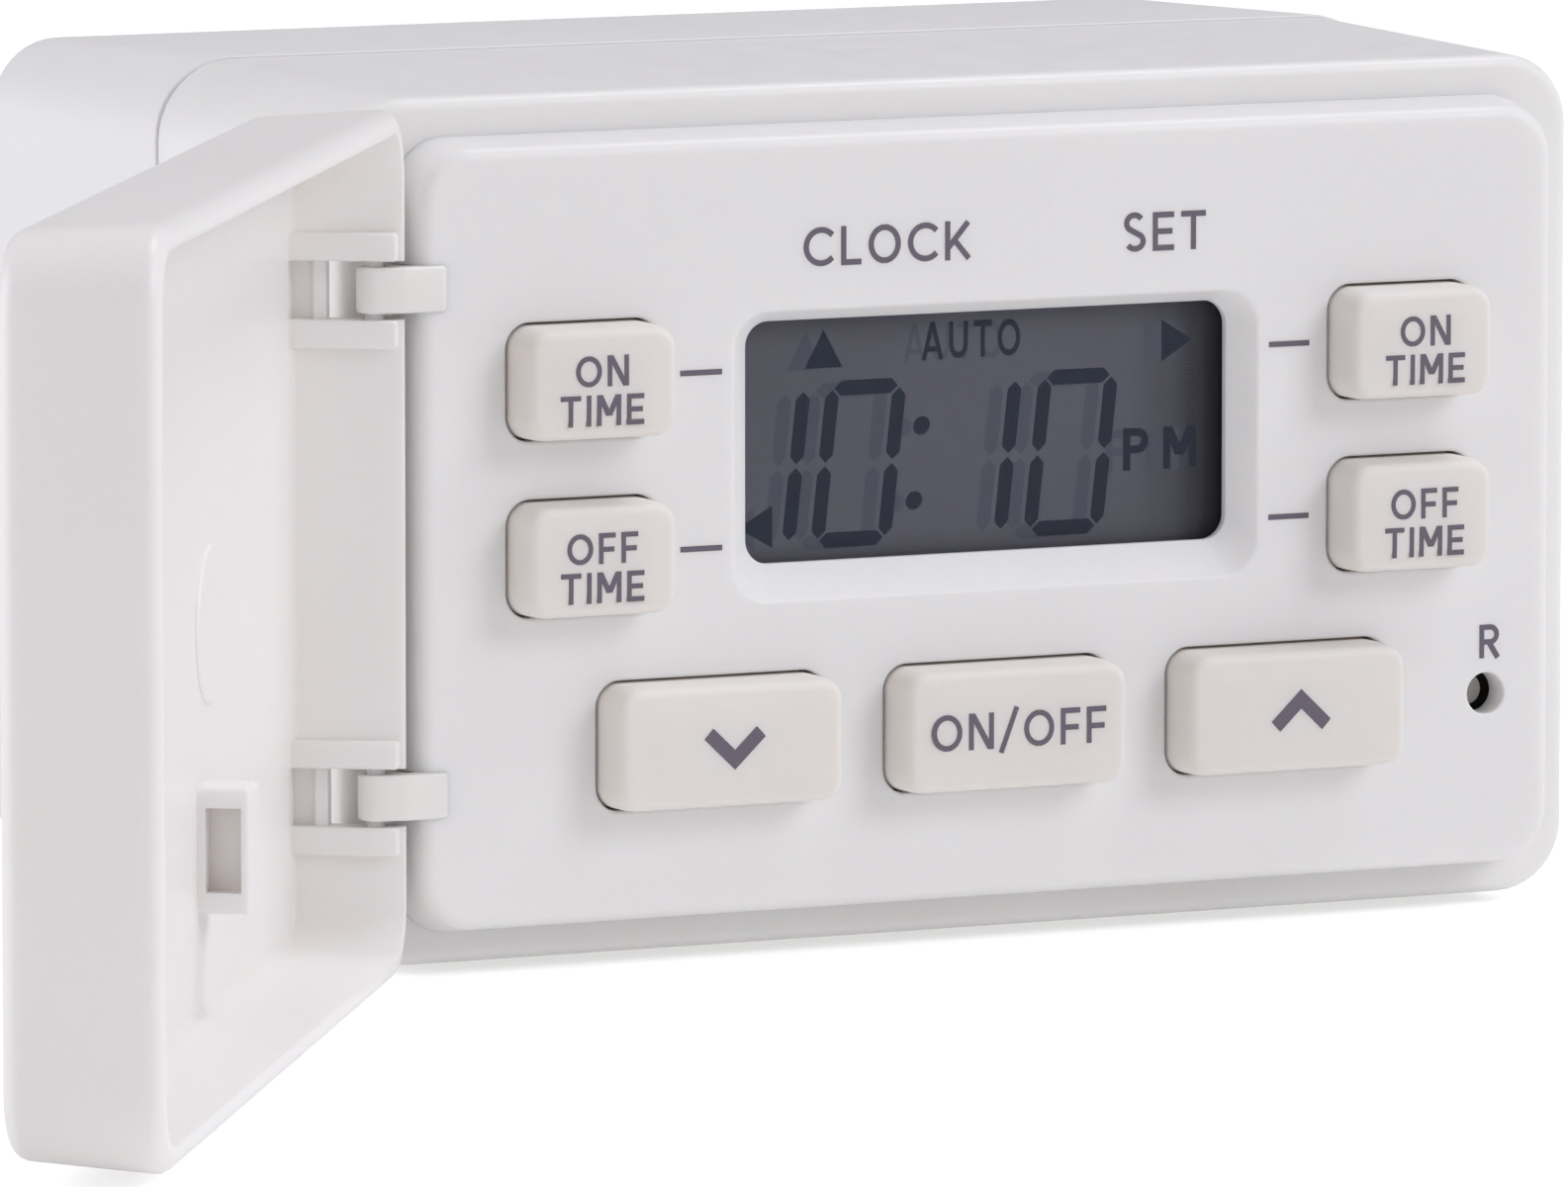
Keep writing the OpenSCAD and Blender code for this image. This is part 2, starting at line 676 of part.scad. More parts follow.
// Gooseneck arms: each is clipped into the panel and wraps around a hinge pin
module hinge_arms() color("#efece6") for (z = arm_zs)
    translate([0, 0, z - arm_h / 2]) difference() {
        union() {
            translate([pivot_x, -pivot_f, 0]) cylinder(r = knuckle_r, h = arm_h);
            linear_extrude(arm_h) polygon([
                [pivot_x, -pivot_f + knuckle_r / 2],
                [pivot_x + knuckle_r / 2, -pivot_f - knuckle_r + 0.1],
                [arm_bend_x, -arm_front_f], [arm_tip_x, -arm_front_f],
                [arm_tip_x, -panel_back_f], [arm_tip_x - arm_t, -panel_back_f],
                [arm_tip_x - arm_t, -arm_front_f + arm_t],
                [arm_bend_x + 0.2, -arm_front_f + arm_t]]);
        }
        translate([pivot_x, -pivot_f, -past]) cylinder(r = hinge_bore_r, h = arm_h + 2 * past);
    }

// ---- assembly ----

front_housing();
rear_housing();
fascia_panel();
front_cover();
hinge_arms();
key("on_left");  // key_on_left
key("off_left");  // key_off_left
key("on_right");  // key_on_right
key("off_right");  // key_off_right
key("down");  // key_down
key("on_off");  // key_on_off
key("up");  // key_up
keypad_mat();
display_lens();
lcd_glass();
lcd_connectors();
control_board();
controller_chip();
backup_cell();
reset_switch();
reset_plunger();
ribbon_cable();
power_board();
relay();
filter_capacitor();
smoothing_capacitor();
line_blade();
neutral_blade();
earth_pin();
line_contact();
neutral_contact();
earth_contact();
contact_carrier();
housing_screws();
board_screws();
power_board_screws();
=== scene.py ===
import json
import math

import bmesh
import bpy
from mathutils import Matrix, Vector
from mathutils.geometry import delaunay_2d_cdt, tessellate_polygon


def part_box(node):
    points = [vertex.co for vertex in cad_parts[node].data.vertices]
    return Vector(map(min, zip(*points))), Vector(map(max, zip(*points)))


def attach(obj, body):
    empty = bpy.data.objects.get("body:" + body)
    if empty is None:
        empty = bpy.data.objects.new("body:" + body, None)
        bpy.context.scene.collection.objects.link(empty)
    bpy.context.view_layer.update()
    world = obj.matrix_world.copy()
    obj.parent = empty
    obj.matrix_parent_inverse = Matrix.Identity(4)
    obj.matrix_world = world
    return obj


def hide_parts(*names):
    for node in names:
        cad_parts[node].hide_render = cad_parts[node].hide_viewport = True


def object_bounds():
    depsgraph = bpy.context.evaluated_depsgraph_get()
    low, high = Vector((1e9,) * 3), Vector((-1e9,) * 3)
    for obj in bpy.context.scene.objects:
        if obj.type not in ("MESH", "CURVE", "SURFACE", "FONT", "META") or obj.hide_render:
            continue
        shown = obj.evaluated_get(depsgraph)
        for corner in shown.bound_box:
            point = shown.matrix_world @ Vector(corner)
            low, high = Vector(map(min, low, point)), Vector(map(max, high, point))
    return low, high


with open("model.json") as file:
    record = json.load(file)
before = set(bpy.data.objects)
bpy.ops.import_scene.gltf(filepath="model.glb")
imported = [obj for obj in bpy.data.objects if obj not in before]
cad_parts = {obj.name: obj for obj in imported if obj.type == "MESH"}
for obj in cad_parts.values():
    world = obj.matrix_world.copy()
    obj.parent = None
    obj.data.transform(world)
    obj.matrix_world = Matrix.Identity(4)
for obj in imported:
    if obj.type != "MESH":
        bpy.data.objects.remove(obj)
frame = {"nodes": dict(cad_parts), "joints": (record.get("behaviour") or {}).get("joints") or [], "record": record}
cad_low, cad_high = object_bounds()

# A plug-in timer with its cover open. Lengths are in metres, written as numbers of MM.
# +Z is up, the front looks along -Y, and an f is a forward distance from the back face (y = -f).
MM = 0.001
ARC = 10  # steps round each outline corner
ROUND = 6  # steps round each fillet
EDGE = 0.06 * MM  # width of the flat strip that keeps a plane's shading off its fillet
SHARP = math.radians(35)  # edges above this angle stay sharp
CUT = 1 * MM  # how far a cutter reaches past the wall it cuts

# ---- frame sizes

front_low, front_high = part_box("front_housing")
rear_low, rear_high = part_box("rear_housing")
panel_low, panel_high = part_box("fascia_panel")
glass_low, glass_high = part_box("lcd_glass")
lens_low, lens_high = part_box("display_lens")
arms_low, arms_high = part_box("hinge_arms")
joint = {j["name"]: j for j in frame["joints"]}
mount = {m["name"]: m for m in frame["record"]["mounts"]}

FLARE = 0.6 * MM
LIP = 0.15 * MM
STEP = 0.3 * MM  # depth of the seam line
TONGUE = 1.1 * MM
WALL = 2.2 * MM
FRONT_F = -front_low.y  # the casing's front face
SEAM_F = -front_high.y
REAR_SEAM_F = -rear_low.y
BODY_W = front_high.x - front_low.x - 2 * FLARE
BODY_H = front_high.z - front_low.z - 2 * FLARE
BODY_R = 4.6 * MM
EDGE_R = 0.8 * MM
OPENING = (77 * MM, 44 * MM, 2 * MM)  # hole behind the panel
FRONT_WALL = 2 * MM
SCREWS = [(sx * 37.2 * MM, sz * 20.6 * MM) for sx in (-1, 1) for sz in (-1, 1)]
PILOT_R = 1.25 * MM
SHANK_R = 1.7 * MM
SINK_R = 3.1 * MM
SINK_D = 14 * MM
POST_R = 3.4 * MM
POST_CORNER_R = 3.2 * MM
EARTH_HOLE_R = 2.2 * MM
OUTLET_SLOTS = ((6.35 * MM, 8.4 * MM), (-6.35 * MM, 7 * MM))  # place along the wall and height of each
OUTLET_SLOT_HALF_W = 1.05 * MM
OUTLET_DEPTH = 6 * MM

PANEL_F = -panel_low.y
PANEL_X = (panel_low.x + panel_high.x) / 2
PANEL_Z = (panel_low.z + panel_high.z) / 2
PANEL_DRAFT = 0.4 * MM
PANEL_W = panel_high.x - panel_low.x - 2 * PANEL_DRAFT
PANEL_H = panel_high.z - panel_low.z - 2 * PANEL_DRAFT
PANEL_R = 3.5 * MM
PANEL_T = 2 * MM
PANEL_EDGE_R = 0.9 * MM
WINDOW_W = 34.5 * MM
WINDOW_H = 15.5 * MM
WINDOW_Z = (lens_low.z + lens_high.z) / 2
WINDOW_R = 1.6 * MM
BEZEL_DEPTH = 1.5 * MM
BEZEL_FLARE = 1.45 * MM  # width of the sloped rim
BEZEL_DROP = 0.7 * MM  # how far the rim's outer edge is shifted down
BEZEL_R = 2.4 * MM
KEY_GAP = 0.17 * MM
KEY_R = 1.5 * MM
KEY_FLANGE = 0.9 * MM
KEY_EDGE_R = 0.75 * MM
KEY_DRAFT = 0.12 * MM
PILL_R = 1.5 * MM
CROWN = 0.12 * MM  # how far a key's face bulges
ARM_H = 2.9 * MM

COVER_W = BODY_W - 0.2 * MM
COVER_H = BODY_H - 0.2 * MM
COVER_T = 1.6 * MM
COVER_TAPER = 0.5 * MM
COVER_RIM_F = FRONT_F + 0.5 * MM
COVER_F = COVER_RIM_F + 9.55 * MM
COVER_INSIDE_F = COVER_F - 2.4 * MM
NOTCH_H = 3.7 * MM
NOTCH_END_F = 61.4 * MM  # each notch is open to the rim up to here, then a pocket with a web
WEB_X = 1.0 * MM
WEB_BAR_T = 0.8 * MM
PIN_R = 0.6 * MM
PIN_HOLD = 0.4 * MM  # how far a pin's ends sit in the cover
BORE_R = 0.65 * MM
KNUCKLE_R = 1.15 * MM
RIB_T = 1.8 * MM
SUNK = 0.2 * MM  # how far ribs and pad sit in the cover's floor
BOX_X = -9.75 * MM
BOX_Z = -15.1 * MM
BOX_W = 3.6 * MM
BOX_H = 7.8 * MM
BOX_RISE = 3.2 * MM
PAD_R = 4.9 * MM
PAD_RISE = 0.25 * MM
HINGE_X, HINGE_Y = joint["cover_hinge"]["pos_m"][:2]
OPEN_ANGLE = math.radians(joint["cover_hinge"]["range_deg"][1])
ARM_ZS = (arms_high.z - ARM_H / 2, arms_low.z + ARM_H / 2)
PRINT_UP = 0.015 * MM
PRINT_DOWN = 0.02 * MM


# ---- mesh helpers

def box_corners(w, h, r, x=0.0, z=0.0):
    """Corners of a rounded rectangle, each (x, z, radius), counter-clockwise."""
    return [(x + sx * w / 2, z + sz * h / 2, r) for sx, sz in ((1, -1), (1, 1), (-1, 1), (-1, -1))]


def outline(corners, grow=0.0, steps=ARC):
    """Points of a closed outline with rounded corners. grow moves every side outwards."""
    points = []
    count = len(corners)
    for i, (x, z, radius) in enumerate(corners):
        here = Vector((x, z))
        before = Vector(corners[i - 1][:2])
        after = Vector(corners[(i + 1) % count][:2])
        a = (here - before).normalized()
        b = (after - here).normalized()
        na = Vector((a.y, -a.x))
        nb = Vector((b.y, -b.x))
        side = 1 if a.x * b.y - a.y * b.x > 0 else -1
        miter = (na + nb) / (1 + na.dot(nb))
        r = max(radius + side * grow, 0.02 * MM)
        centre = here + miter * (grow - side * r)
        start = math.atan2(side * na.y, side * na.x)
        sweep = side * na.angle(nb)
        for k in range(steps + 1):
            t = start + sweep * k / steps
            points.append(centre + Vector((math.cos(t), math.sin(t))) * r)
    return points


def circle(r, x=0.0, z=0.0, steps=32):
    return [Vector((x + r * math.cos(2 * math.pi * k / steps), z + r * math.sin(2 * math.pi * k / steps)))
            for k in range(steps)]


def front_plane(u, v, f):
    """Point at (x, z) on the plane at forward distance f."""
    return Vector((u, -f, v))


def top_plane(u, v, f):
    """Point at (x, y) on the plane at height f."""
    return Vector((u, v, f))


def side_plane(u, v, f):
    """Point at (y, z) on the plane at x = f."""
    return Vector((f, u, v))


class Solid:
    """Builds one closed mesh from rings of points that are skinned and capped."""

    def __init__(self, place=front_plane):
        self.mesh = bmesh.new()
        self.place = place

    def ring(self, points, f):
        return [self.mesh.verts.new(self.place(p[0], p[1], f)) for p in points]

    def skin(self, rings, closed=False):
        """Joins rings of equal length, each to the next."""
        pairs = list(zip(rings, rings[1:]))
        if closed:
            pairs.append((rings[-1], rings[0]))
        for a, b in pairs:
            for i in range(len(a)):
                j = (i + 1) % len(a)
                self.mesh.faces.new((a[i], a[j], b[j], b[i]))

    def tube(self, steps, closed=False):
        """Skins (points, f) pairs and returns the rings."""
        rings = [self.ring(points, f) for points, f in steps]
        self.skin(rings, closed)
        return rings

    def cap(self, outer, *holes):
        """Closes a plane between an outer ring and any holes in it."""
        loops = [outer, *holes]
        flat = [v for loop in loops for v in loop]
        for tri in tessellate_polygon([[v.co for v in loop] for loop in loops]):
            corners = [flat[i] for i in tri]
            if len(set(corners)) == 3:
                self.mesh.faces.new(corners)

    def finish(self, name):
        """Returns the mesh as a smooth-shaded object."""
        bmesh.ops.remove_doubles(self.mesh, verts=self.mesh.verts, dist=1e-7)
        bmesh.ops.recalc_face_normals(self.mesh, faces=self.mesh.faces)
        return smooth(make_object(name, self.mesh))


def make_object(name, mesh):
    """Moves a bmesh into a new object of the scene."""
    data = bpy.data.meshes.new(name)
    mesh.to_mesh(data)
    mesh.free()
    obj = bpy.data.objects.new(name, data)
    bpy.context.scene.collection.objects.link(obj)
    return obj


def smooth(obj):
    obj.data.polygons.foreach_set("use_smooth", [True] * len(obj.data.polygons))
    obj.data.set_sharp_from_angle(angle=SHARP)
    return obj


def capped(name, steps, place=front_plane):
    """Solid skinned through (points, f) pairs and closed at both ends."""
    solid = Solid(place)
    rings = solid.tube(steps)
    solid.cap(rings[0])
    solid.cap(rings[-1])
    return solid.finish(name)


def fillet(r, steps=ROUND):
    """(grow, f offset) pairs of an outer fillet, from the flat face round to the side."""
    pairs = [(-r - EDGE, 0.0)]
    for k in range(steps + 1):
        t = math.pi / 2 * k / steps
        pairs.append((-r + r * math.sin(t), -(r - r * math.cos(t))))
    return pairs


def hole_fillet(r):
    """(grow, f offset) pairs of the fillet round the mouth of a hole."""
    return [(-grow, f) for grow, f in fillet(r, 4)]


def boolean(obj, operation, cutters):
    """Cuts or joins the cutters and keeps only the result."""
    for cutter in cutters:
        step = obj.modifiers.new("step", "BOOLEAN")
        step.operation = operation
        step.solver = "EXACT"
        step.object = cutter
    bpy.context.view_layer.update()
    result = bpy.data.meshes.new_from_object(obj.evaluated_get(bpy.context.evaluated_depsgraph_get()))
    obj.modifiers.clear()
    old = obj.data
    obj.data = result
    obj.data.name = obj.name
    bpy.data.meshes.remove(old)
    for cutter in cutters:
        bpy.data.meshes.remove(cutter.data)
    return obj


def tidy(obj):
    """Welds the seams that a boolean leaves and shades the result."""
    mesh = bmesh.new()
    mesh.from_mesh(obj.data)
    bmesh.ops.remove_doubles(mesh, verts=mesh.verts, dist=2e-6)
    bmesh.ops.dissolve_degenerate(mesh, edges=mesh.edges, dist=1e-6)
    mesh.to_mesh(obj.data)
    mesh.free()
    return smooth(obj)


def block(name, low, high):
    """Plain box that is used as a cutter."""
    corners = ((low[0], low[2]), (high[0], low[2]), (high[0], high[2]), (low[0], high[2]))
    return capped(name, [(corners, -y) for y in (low[1], high[1])])


def spool(name, profile, x, z, steps=32):
    """Round solid along the depth from (radius, f) pairs."""
    return capped(name, [(circle(r, x, z, steps), f) for r, f in profile])


# ---- materials

def srgb(r, g, b):
    """Linear colour from 0-255 screen values."""
    def linear(c):
        c /= 255
        return c / 12.92 if c <= 0.04045 else ((c + 0.055) / 1.055) ** 2.4
    return (linear(r), linear(g), linear(b), 1.0)


class Look:
    """A node material whose textures run over the part's own coordinates."""

    def __init__(self, name):
        self.material = bpy.data.materials.new(name)
        self.material.use_nodes = True
        self.nodes = self.material.node_tree.nodes
        self.shader = self.nodes["Principled BSDF"]

    def feed(self, node, inputs):
        """Sets a node's inputs; a value that is another node's output is linked."""
        for key, value in inputs.items():
            if isinstance(value, bpy.types.NodeSocket):
                self.material.node_tree.links.new(value, node.inputs[key])
            else:
                node.inputs[key].default_value = value

    def add(self, kind, inputs, output):
        """Adds a node and returns one of its outputs."""
        node = self.nodes.new("ShaderNode" + kind)
        self.feed(node, inputs)
        return node.outputs[output]

    def place(self):
        """The part's own coordinates, from one shared node."""
        node = self.nodes.get("Place") or self.nodes.new("ShaderNodeTexCoord")
        node.name = "Place"
        return node.outputs["Object"]

    def noise(self, scale, detail=2.0, distortion=0.0):
        """Noise with a scale in cycles per metre."""
        return self.add("TexNoise", {"Scale": scale, "Detail": detail, "Distortion": distortion,
                                     "Vector": self.place()}, "Fac")

    def ramp(self, source, stops):
        """Colour ramp from (position, colour) stops."""
        colour = self.add("ValToRGB", {"Fac": source}, "Color")
        elements = colour.node.color_ramp.elements
        while len(elements) < len(stops):
            elements.new(0.5)
        for element, (position, shade) in zip(elements, stops):
            element.position = position
            element.color = shade
        return colour

    def spread(self, source, low, high):
        """Maps noise onto a range of roughness."""
        return self.add("MapRange", {"From Min": 0.3, "From Max": 0.7, "To Min": low, "To Max": high,
                                     "Value": source}, "Result")

    def bump(self, source, distance, strength=1.0):
        self.feed(self.shader, {"Normal": self.add("Bump", {
            "Distance": distance, "Strength": strength, "Height": source}, "Normal")})


def plastic(name, light, dark, roughness=(0.36, 0.46), grain=7000, grain_depth=0.006 * MM,
            subsurface=0.0, depth=1.6 * MM):
    """Moulded plastic: faint cloudy tint, uneven gloss and a fine spark-eroded grain."""
    look = Look(name)
    look.feed(look.shader, {
        "Base Color": look.ramp(look.noise(45, 3), [(0.3, srgb(*dark)), (0.7, srgb(*light))]),
        "Roughness": look.spread(look.noise(320, 4), *roughness), "IOR": 1.5})
    look.bump(look.noise(grain, 2), grain_depth)
    if subsurface:
        look.feed(look.shader, {"Subsurface Weight": subsurface, "Subsurface Scale": depth,
                                "Subsurface Radius": (1.0, 0.82, 0.62)})
    return look.material


def metal(name, light, dark, roughness=(0.22, 0.4), grain=2500):
    """Worked metal with an uneven tint and gloss and a fine bumpy grain."""
    look = Look(name)
    look.feed(look.shader, {
        "Base Color": look.ramp(look.noise(500, 4), [(0.35, srgb(*dark)), (0.65, srgb(*light))]),
        "Roughness": look.spread(look.noise(900, 3), *roughness), "Metallic": 1.0})
    look.bump(look.noise(grain, 3, 0.6), 0.004 * MM)
    return look.material


def circuit_board(name):
    """Green solder resist over a darker trace pattern."""
    look = Look(name)
    turned = look.add("Mapping", {"Rotation": (math.pi / 2, 0, 0), "Vector": look.place()}, "Vector")
    traces = look.add("TexBrick", {
        "Scale": 260, "Mortar Size": 0.012, "Color1": srgb(30, 92, 52), "Color2": srgb(36, 104, 60),
        "Mortar": srgb(70, 140, 84), "Vector": turned}, "Color")
    look.feed(look.shader, {"Base Color": traces, "Roughness": look.spread(look.noise(400, 3), 0.25, 0.4)})
    look.bump(traces.node.outputs["Fac"], 0.02 * MM, 0.4)
    return look.material


def lens_material():
    """Clear coated acrylic: mostly see-through, with a weak reflection that grows at grazing angles."""
    look = Look("lens_acrylic")
    look.nodes.remove(look.shader)
    tint = look.ramp(look.noise(60), [(0.3, (0.95, 0.95, 0.96, 1)), (0.7, (0.98, 0.98, 0.99, 1))])
    clear = look.add("BsdfTransparent", {"Color": tint}, "BSDF")
    gloss = look.add("BsdfGlossy", {"Roughness": look.spread(look.noise(150), 0.03, 0.06)}, "BSDF")
    edge = look.add("Fresnel", {"IOR": 1.22}, "Fac")
    mix = look.add("MixShader", {"Fac": edge, 1: clear, 2: gloss}, "Shader")
    look.feed(look.nodes["Material Output"], {"Surface": mix})
    return look.material


def display_material():
    """Reflective display: even grey with painted shade that darkens it towards its right edge, and a faint grain.
    """
    look = Look("display_grey")
    across = look.add("SeparateXYZ", {"Vector": look.place()}, "X")
    # painted shade: a ramp over X darkens the grey towards the display's right edge
    painted_shade = look.add("MapRange", {"From Min": 8.6 * MM, "From Max": 18.6 * MM, "Value": across}, "Result")
    look.feed(look.shader, {
        "Base Color": look.ramp(painted_shade, [(0.3, srgb(112, 112, 120)), (0.6, srgb(96, 96, 104)),
                                       (0.73, srgb(70, 70, 78)), (0.9, srgb(63, 62, 69))]),
        "Roughness": look.spread(look.noise(900), 0.4, 0.5), "Specular IOR Level": 0.05})
    look.bump(look.noise(9000), 0.0005 * MM)
    return look.material


def ink(name, colour, worn, gloss=0.4):
    """Printed ink with tiny worn specks; also the colour of the painted shadow of the display figures."""
    look = Look(name)
    colour, worn = srgb(*colour), srgb(*worn)
    look.feed(look.shader, {
        "Base Color": look.ramp(look.noise(5200, 5), [(0.0, colour), (0.68, colour), (0.68 + 0.06, worn)]),
        "Roughness": look.spread(look.noise(2600), 0.45, 0.6), "Specular IOR Level": gloss})
    look.bump(look.noise(9000), 0.001 * MM)
    return look.material


paint = {
    "front": plastic("front_plastic", (243, 241, 238), (241, 239, 236), subsurface=0.3),
    # painted shade: the rear half is coloured a little darker than the front half, for the shade on its
    # backward-sloping faces
    "rear": plastic("rear_plastic_painted_shade", (238, 236, 234), (236, 234, 232)),
    "panel": plastic("panel_plastic", (242, 240, 238), (240, 238, 236), subsurface=0.4),
    "cover": plastic("cover_plastic", (243, 240, 238), (241, 238, 235), (0.36, 0.4),
                     grain_depth=0.003 * MM, subsurface=0.35, depth=1.8 * MM),
    "arm": plastic("arm_plastic", (242, 239, 234), (239, 236, 231), subsurface=0.3),
    "key": plastic("key_silicone", (236, 231, 226), (233, 227, 221), (0.5, 0.6), grain=9000, subsurface=0.4),
    "mat": plastic("mat_silicone", (226, 216, 204), (220, 209, 196), (0.5, 0.65)),
    "black": plastic("black_plastic", (46, 46, 50), (38, 38, 42), (0.4, 0.55)),
    "plunger": plastic("plunger_plastic", (206, 202, 194), (198, 194, 186)),
    "ribbon": plastic("ribbon_jacket", (160, 163, 168), (148, 151, 156), (0.4, 0.5)),
    "relay": plastic("relay_case", (36, 88, 158), (30, 78, 144), (0.2, 0.3)),
    "capacitor": plastic("capacitor_box", (222, 182, 76), (212, 170, 62), (0.25, 0.35)),
    "can": plastic("can_sleeve", (50, 56, 72), (42, 48, 64), (0.2, 0.35)),
    "strip": plastic("connector_rubber", (196, 150, 150), (180, 132, 132), (0.5, 0.6)),
    "brass": metal("brass_strip", (214, 190, 128), (200, 172, 108)),
    "steel": metal("screw_steel", (196, 198, 202), (176, 178, 184)),
    "cell": metal("cell_steel", (204, 206, 208), (190, 192, 196), (0.12, 0.25)),
    "board": circuit_board("board_green"),
    "lens": lens_material(),
    "display": display_material(),
    "print": ink("label_ink", (108, 100, 112), (170, 165, 172)),
    "segment": ink("segment_dark", (46, 53, 68), (50, 57, 72), gloss=0.05),
    # painted shadow of the display figures on the reflector
    "painted_shadow": ink("segment_shadow", (97, 101, 112), (100, 104, 115), gloss=0.05),
}


def coat(obj, material):
    obj.data.materials.clear()
    obj.data.materials.append(paint[material])


def dress(obj, body, slot, material, *nodes):
    """Gives a piece its body, material and the CAD nodes that it stands for; its record slot is not used."""
    coat(obj, material)
    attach(obj, body)
    if nodes:
        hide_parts(*nodes)
    return obj


# ---- casing

def shell_step(w, h, r, f):
    return (outline(box_corners(w, h, r)), f)


def front_casing():
    """Front half: drafted walls, rounded front edge, an opening behind the panel and a seam tongue."""
    seam_w, seam_h, seam_r = BODY_W + 2 * FLARE, BODY_H + 2 * FLARE, BODY_R + FLARE
    inner = 2 * WALL
    steps = [
        shell_step(seam_w - inner, seam_h - inner, seam_r - WALL, SEAM_F - TONGUE),
        shell_step(seam_w - 2 * STEP, seam_h - 2 * STEP, seam_r - STEP, SEAM_F - TONGUE),
        shell_step(seam_w - 2 * STEP, seam_h - 2 * STEP, seam_r - STEP, SEAM_F),
        shell_step(seam_w - 0.16 * MM, seam_h - 0.16 * MM, seam_r, SEAM_F),
        shell_step(seam_w - 0.04 * MM, seam_h - 0.04 * MM, seam_r, SEAM_F + 0.04 * MM),
        shell_step(seam_w, seam_h, seam_r, SEAM_F + 0.12 * MM),
    ]
    edge = box_corners(BODY_W, BODY_H, BODY_R)
    turn = [(outline(edge, grow), FRONT_F + f) for grow, f in fillet(EDGE_R)]
    steps += [(outline(edge), FRONT_F - EDGE_R - 0.2 * MM), *reversed(turn)]
    hole = box_corners(*OPENING, PANEL_X, PANEL_Z)
    steps += [
        (outline(hole, 0.3 * MM), FRONT_F),
        (outline(hole), FRONT_F - 0.3 * MM),
        (outline(hole), FRONT_F - FRONT_WALL),
        shell_step(BODY_W - inner, BODY_H - inner, BODY_R - WALL, FRONT_F - FRONT_WALL),
    ]
    solid = Solid()
    solid.tube(steps, closed=True)
    piece = solid.finish("casing_front")
    boolean(piece, "UNION", [corner_post(x, z, SEAM_F, FRONT_F - 8 * MM) for x, z in SCREWS])
    boolean(piece, "DIFFERENCE", [
        spool("bore", [(PILOT_R, SEAM_F - 2 * MM), (PILOT_R, SEAM_F + 10 * MM)], x, z) for x, z in SCREWS])
    return dress(tidy(piece), "casing", "casing_white", "front", "front_housing")


def corner_post(x, z, back_f, front_f):
    """Screw post that runs into its corner of the casing."""
    low_x, high_x = sorted((x - math.copysign(POST_R, x), math.copysign(BODY_W / 2 - WALL / 2, x)))
    low_z, high_z = sorted((z - math.copysign(POST_R, z), math.copysign(BODY_H / 2 - WALL / 2, z)))
    corners = box_corners(high_x - low_x, high_z - low_z, POST_CORNER_R,
                          (low_x + high_x) / 2, (low_z + high_z) / 2)
    return capped("post", [(outline(corners), back_f), (outline(corners), front_f)])


def rear_casing():
    """Rear half: proud rim at the seam, flat back with screw sinks, plug openings and the side outlet."""
    seam_w = BODY_W + 2 * (FLARE + LIP)
    seam_h = BODY_H + 2 * (FLARE + LIP)
    seam_r = BODY_R + FLARE
    inner = 2 * WALL
    lip = 2 * (LIP + STEP)
    back = box_corners(BODY_W, BODY_H, BODY_R)
    steps = [(outline(back, grow), -f) for grow, f in fillet(EDGE_R)]
    steps += [
        (outline(back), EDGE_R + 0.2 * MM),
        shell_step(seam_w, seam_h, seam_r, REAR_SEAM_F - 0.25 * MM),
        shell_step(seam_w - 0.06 * MM, seam_h - 0.06 * MM, seam_r, REAR_SEAM_F - 0.06 * MM),
        shell_step(seam_w - 0.2 * MM, seam_h - 0.2 * MM, seam_r, REAR_SEAM_F),
        shell_step(seam_w - lip, seam_h - lip, seam_r - lip / 2, REAR_SEAM_F),
        shell_step(seam_w - lip, seam_h - lip, seam_r - lip / 2, SEAM_F - TONGUE - 0.05 * MM),
        shell_step(seam_w - inner, seam_h - inner, seam_r - WALL, SEAM_F - TONGUE - 0.05 * MM),
        shell_step(BODY_W - inner, BODY_H - inner, BODY_R - WALL, WALL),
        shell_step(BODY_W - inner - 2 * EDGE, BODY_H - inner - 2 * EDGE, BODY_R - WALL, WALL),
    ]
    piece = capped("casing_rear", steps)
    sink = [(SINK_R + 0.5 * MM, -0.2 * MM), (SINK_R, 0.3 * MM), (SINK_R, SINK_D), (SHANK_R, SINK_D),
            (SHANK_R, REAR_SEAM_F + CUT)]
    boolean(piece, "UNION", [corner_post(x, z, WALL / 2, REAR_SEAM_F) for x, z in SCREWS])
    boolean(piece, "DIFFERENCE", [spool("sink", sink, x, z) for x, z in SCREWS])
    boolean(piece, "DIFFERENCE", plug_cuts() + outlet_cuts())
    return dress(tidy(piece), "casing", "casing_white", "rear", "rear_housing")


def plug_cuts():
    """Openings in the back wall for the blades and the earth pin."""
    gap = 0.05 * MM
    cuts = []
    for name in ("line_blade", "neutral_blade"):
        low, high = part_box(name)
        cuts.append(block("slot", (low.x - gap, -WALL - CUT, low.z - gap), (high.x + gap, CUT, high.z + gap)))
    x, _, z = mount["earth_pin"]["pos_m"]
    cuts.append(spool("hole", [(EARTH_HOLE_R, -CUT), (EARTH_HOLE_R, WALL + CUT)], x, z))
    return cuts


def outlet_cuts():
    """Two slots and an earth hole through the right-hand wall."""
    hole = mount["outlet_earth_hole"]
    x, y, z = hole["pos_m"]
    inner_x, outer_x = x - OUTLET_DEPTH, rear_high.x + 1.5 * MM
    slot_z = mount["outlet_slots"]["pos_m"][2]
    cuts = []
    for along, height in OUTLET_SLOTS:
        cuts.append(block("slot", (inner_x, y + along - OUTLET_SLOT_HALF_W, slot_z - height / 2),
                          (outer_x, y + along + OUTLET_SLOT_HALF_W, slot_z + height / 2)))
    round_hole = circle(hole["dims"]["r_mm"] * MM, y, z)
    cuts.append(capped("hole", [(round_hole, inner_x), (round_hole, outer_x)], side_plane))
    return cuts


# ---- panel

KEYS = ("on_left", "off_left", "on_right", "off_right", "down", "on_off", "up")


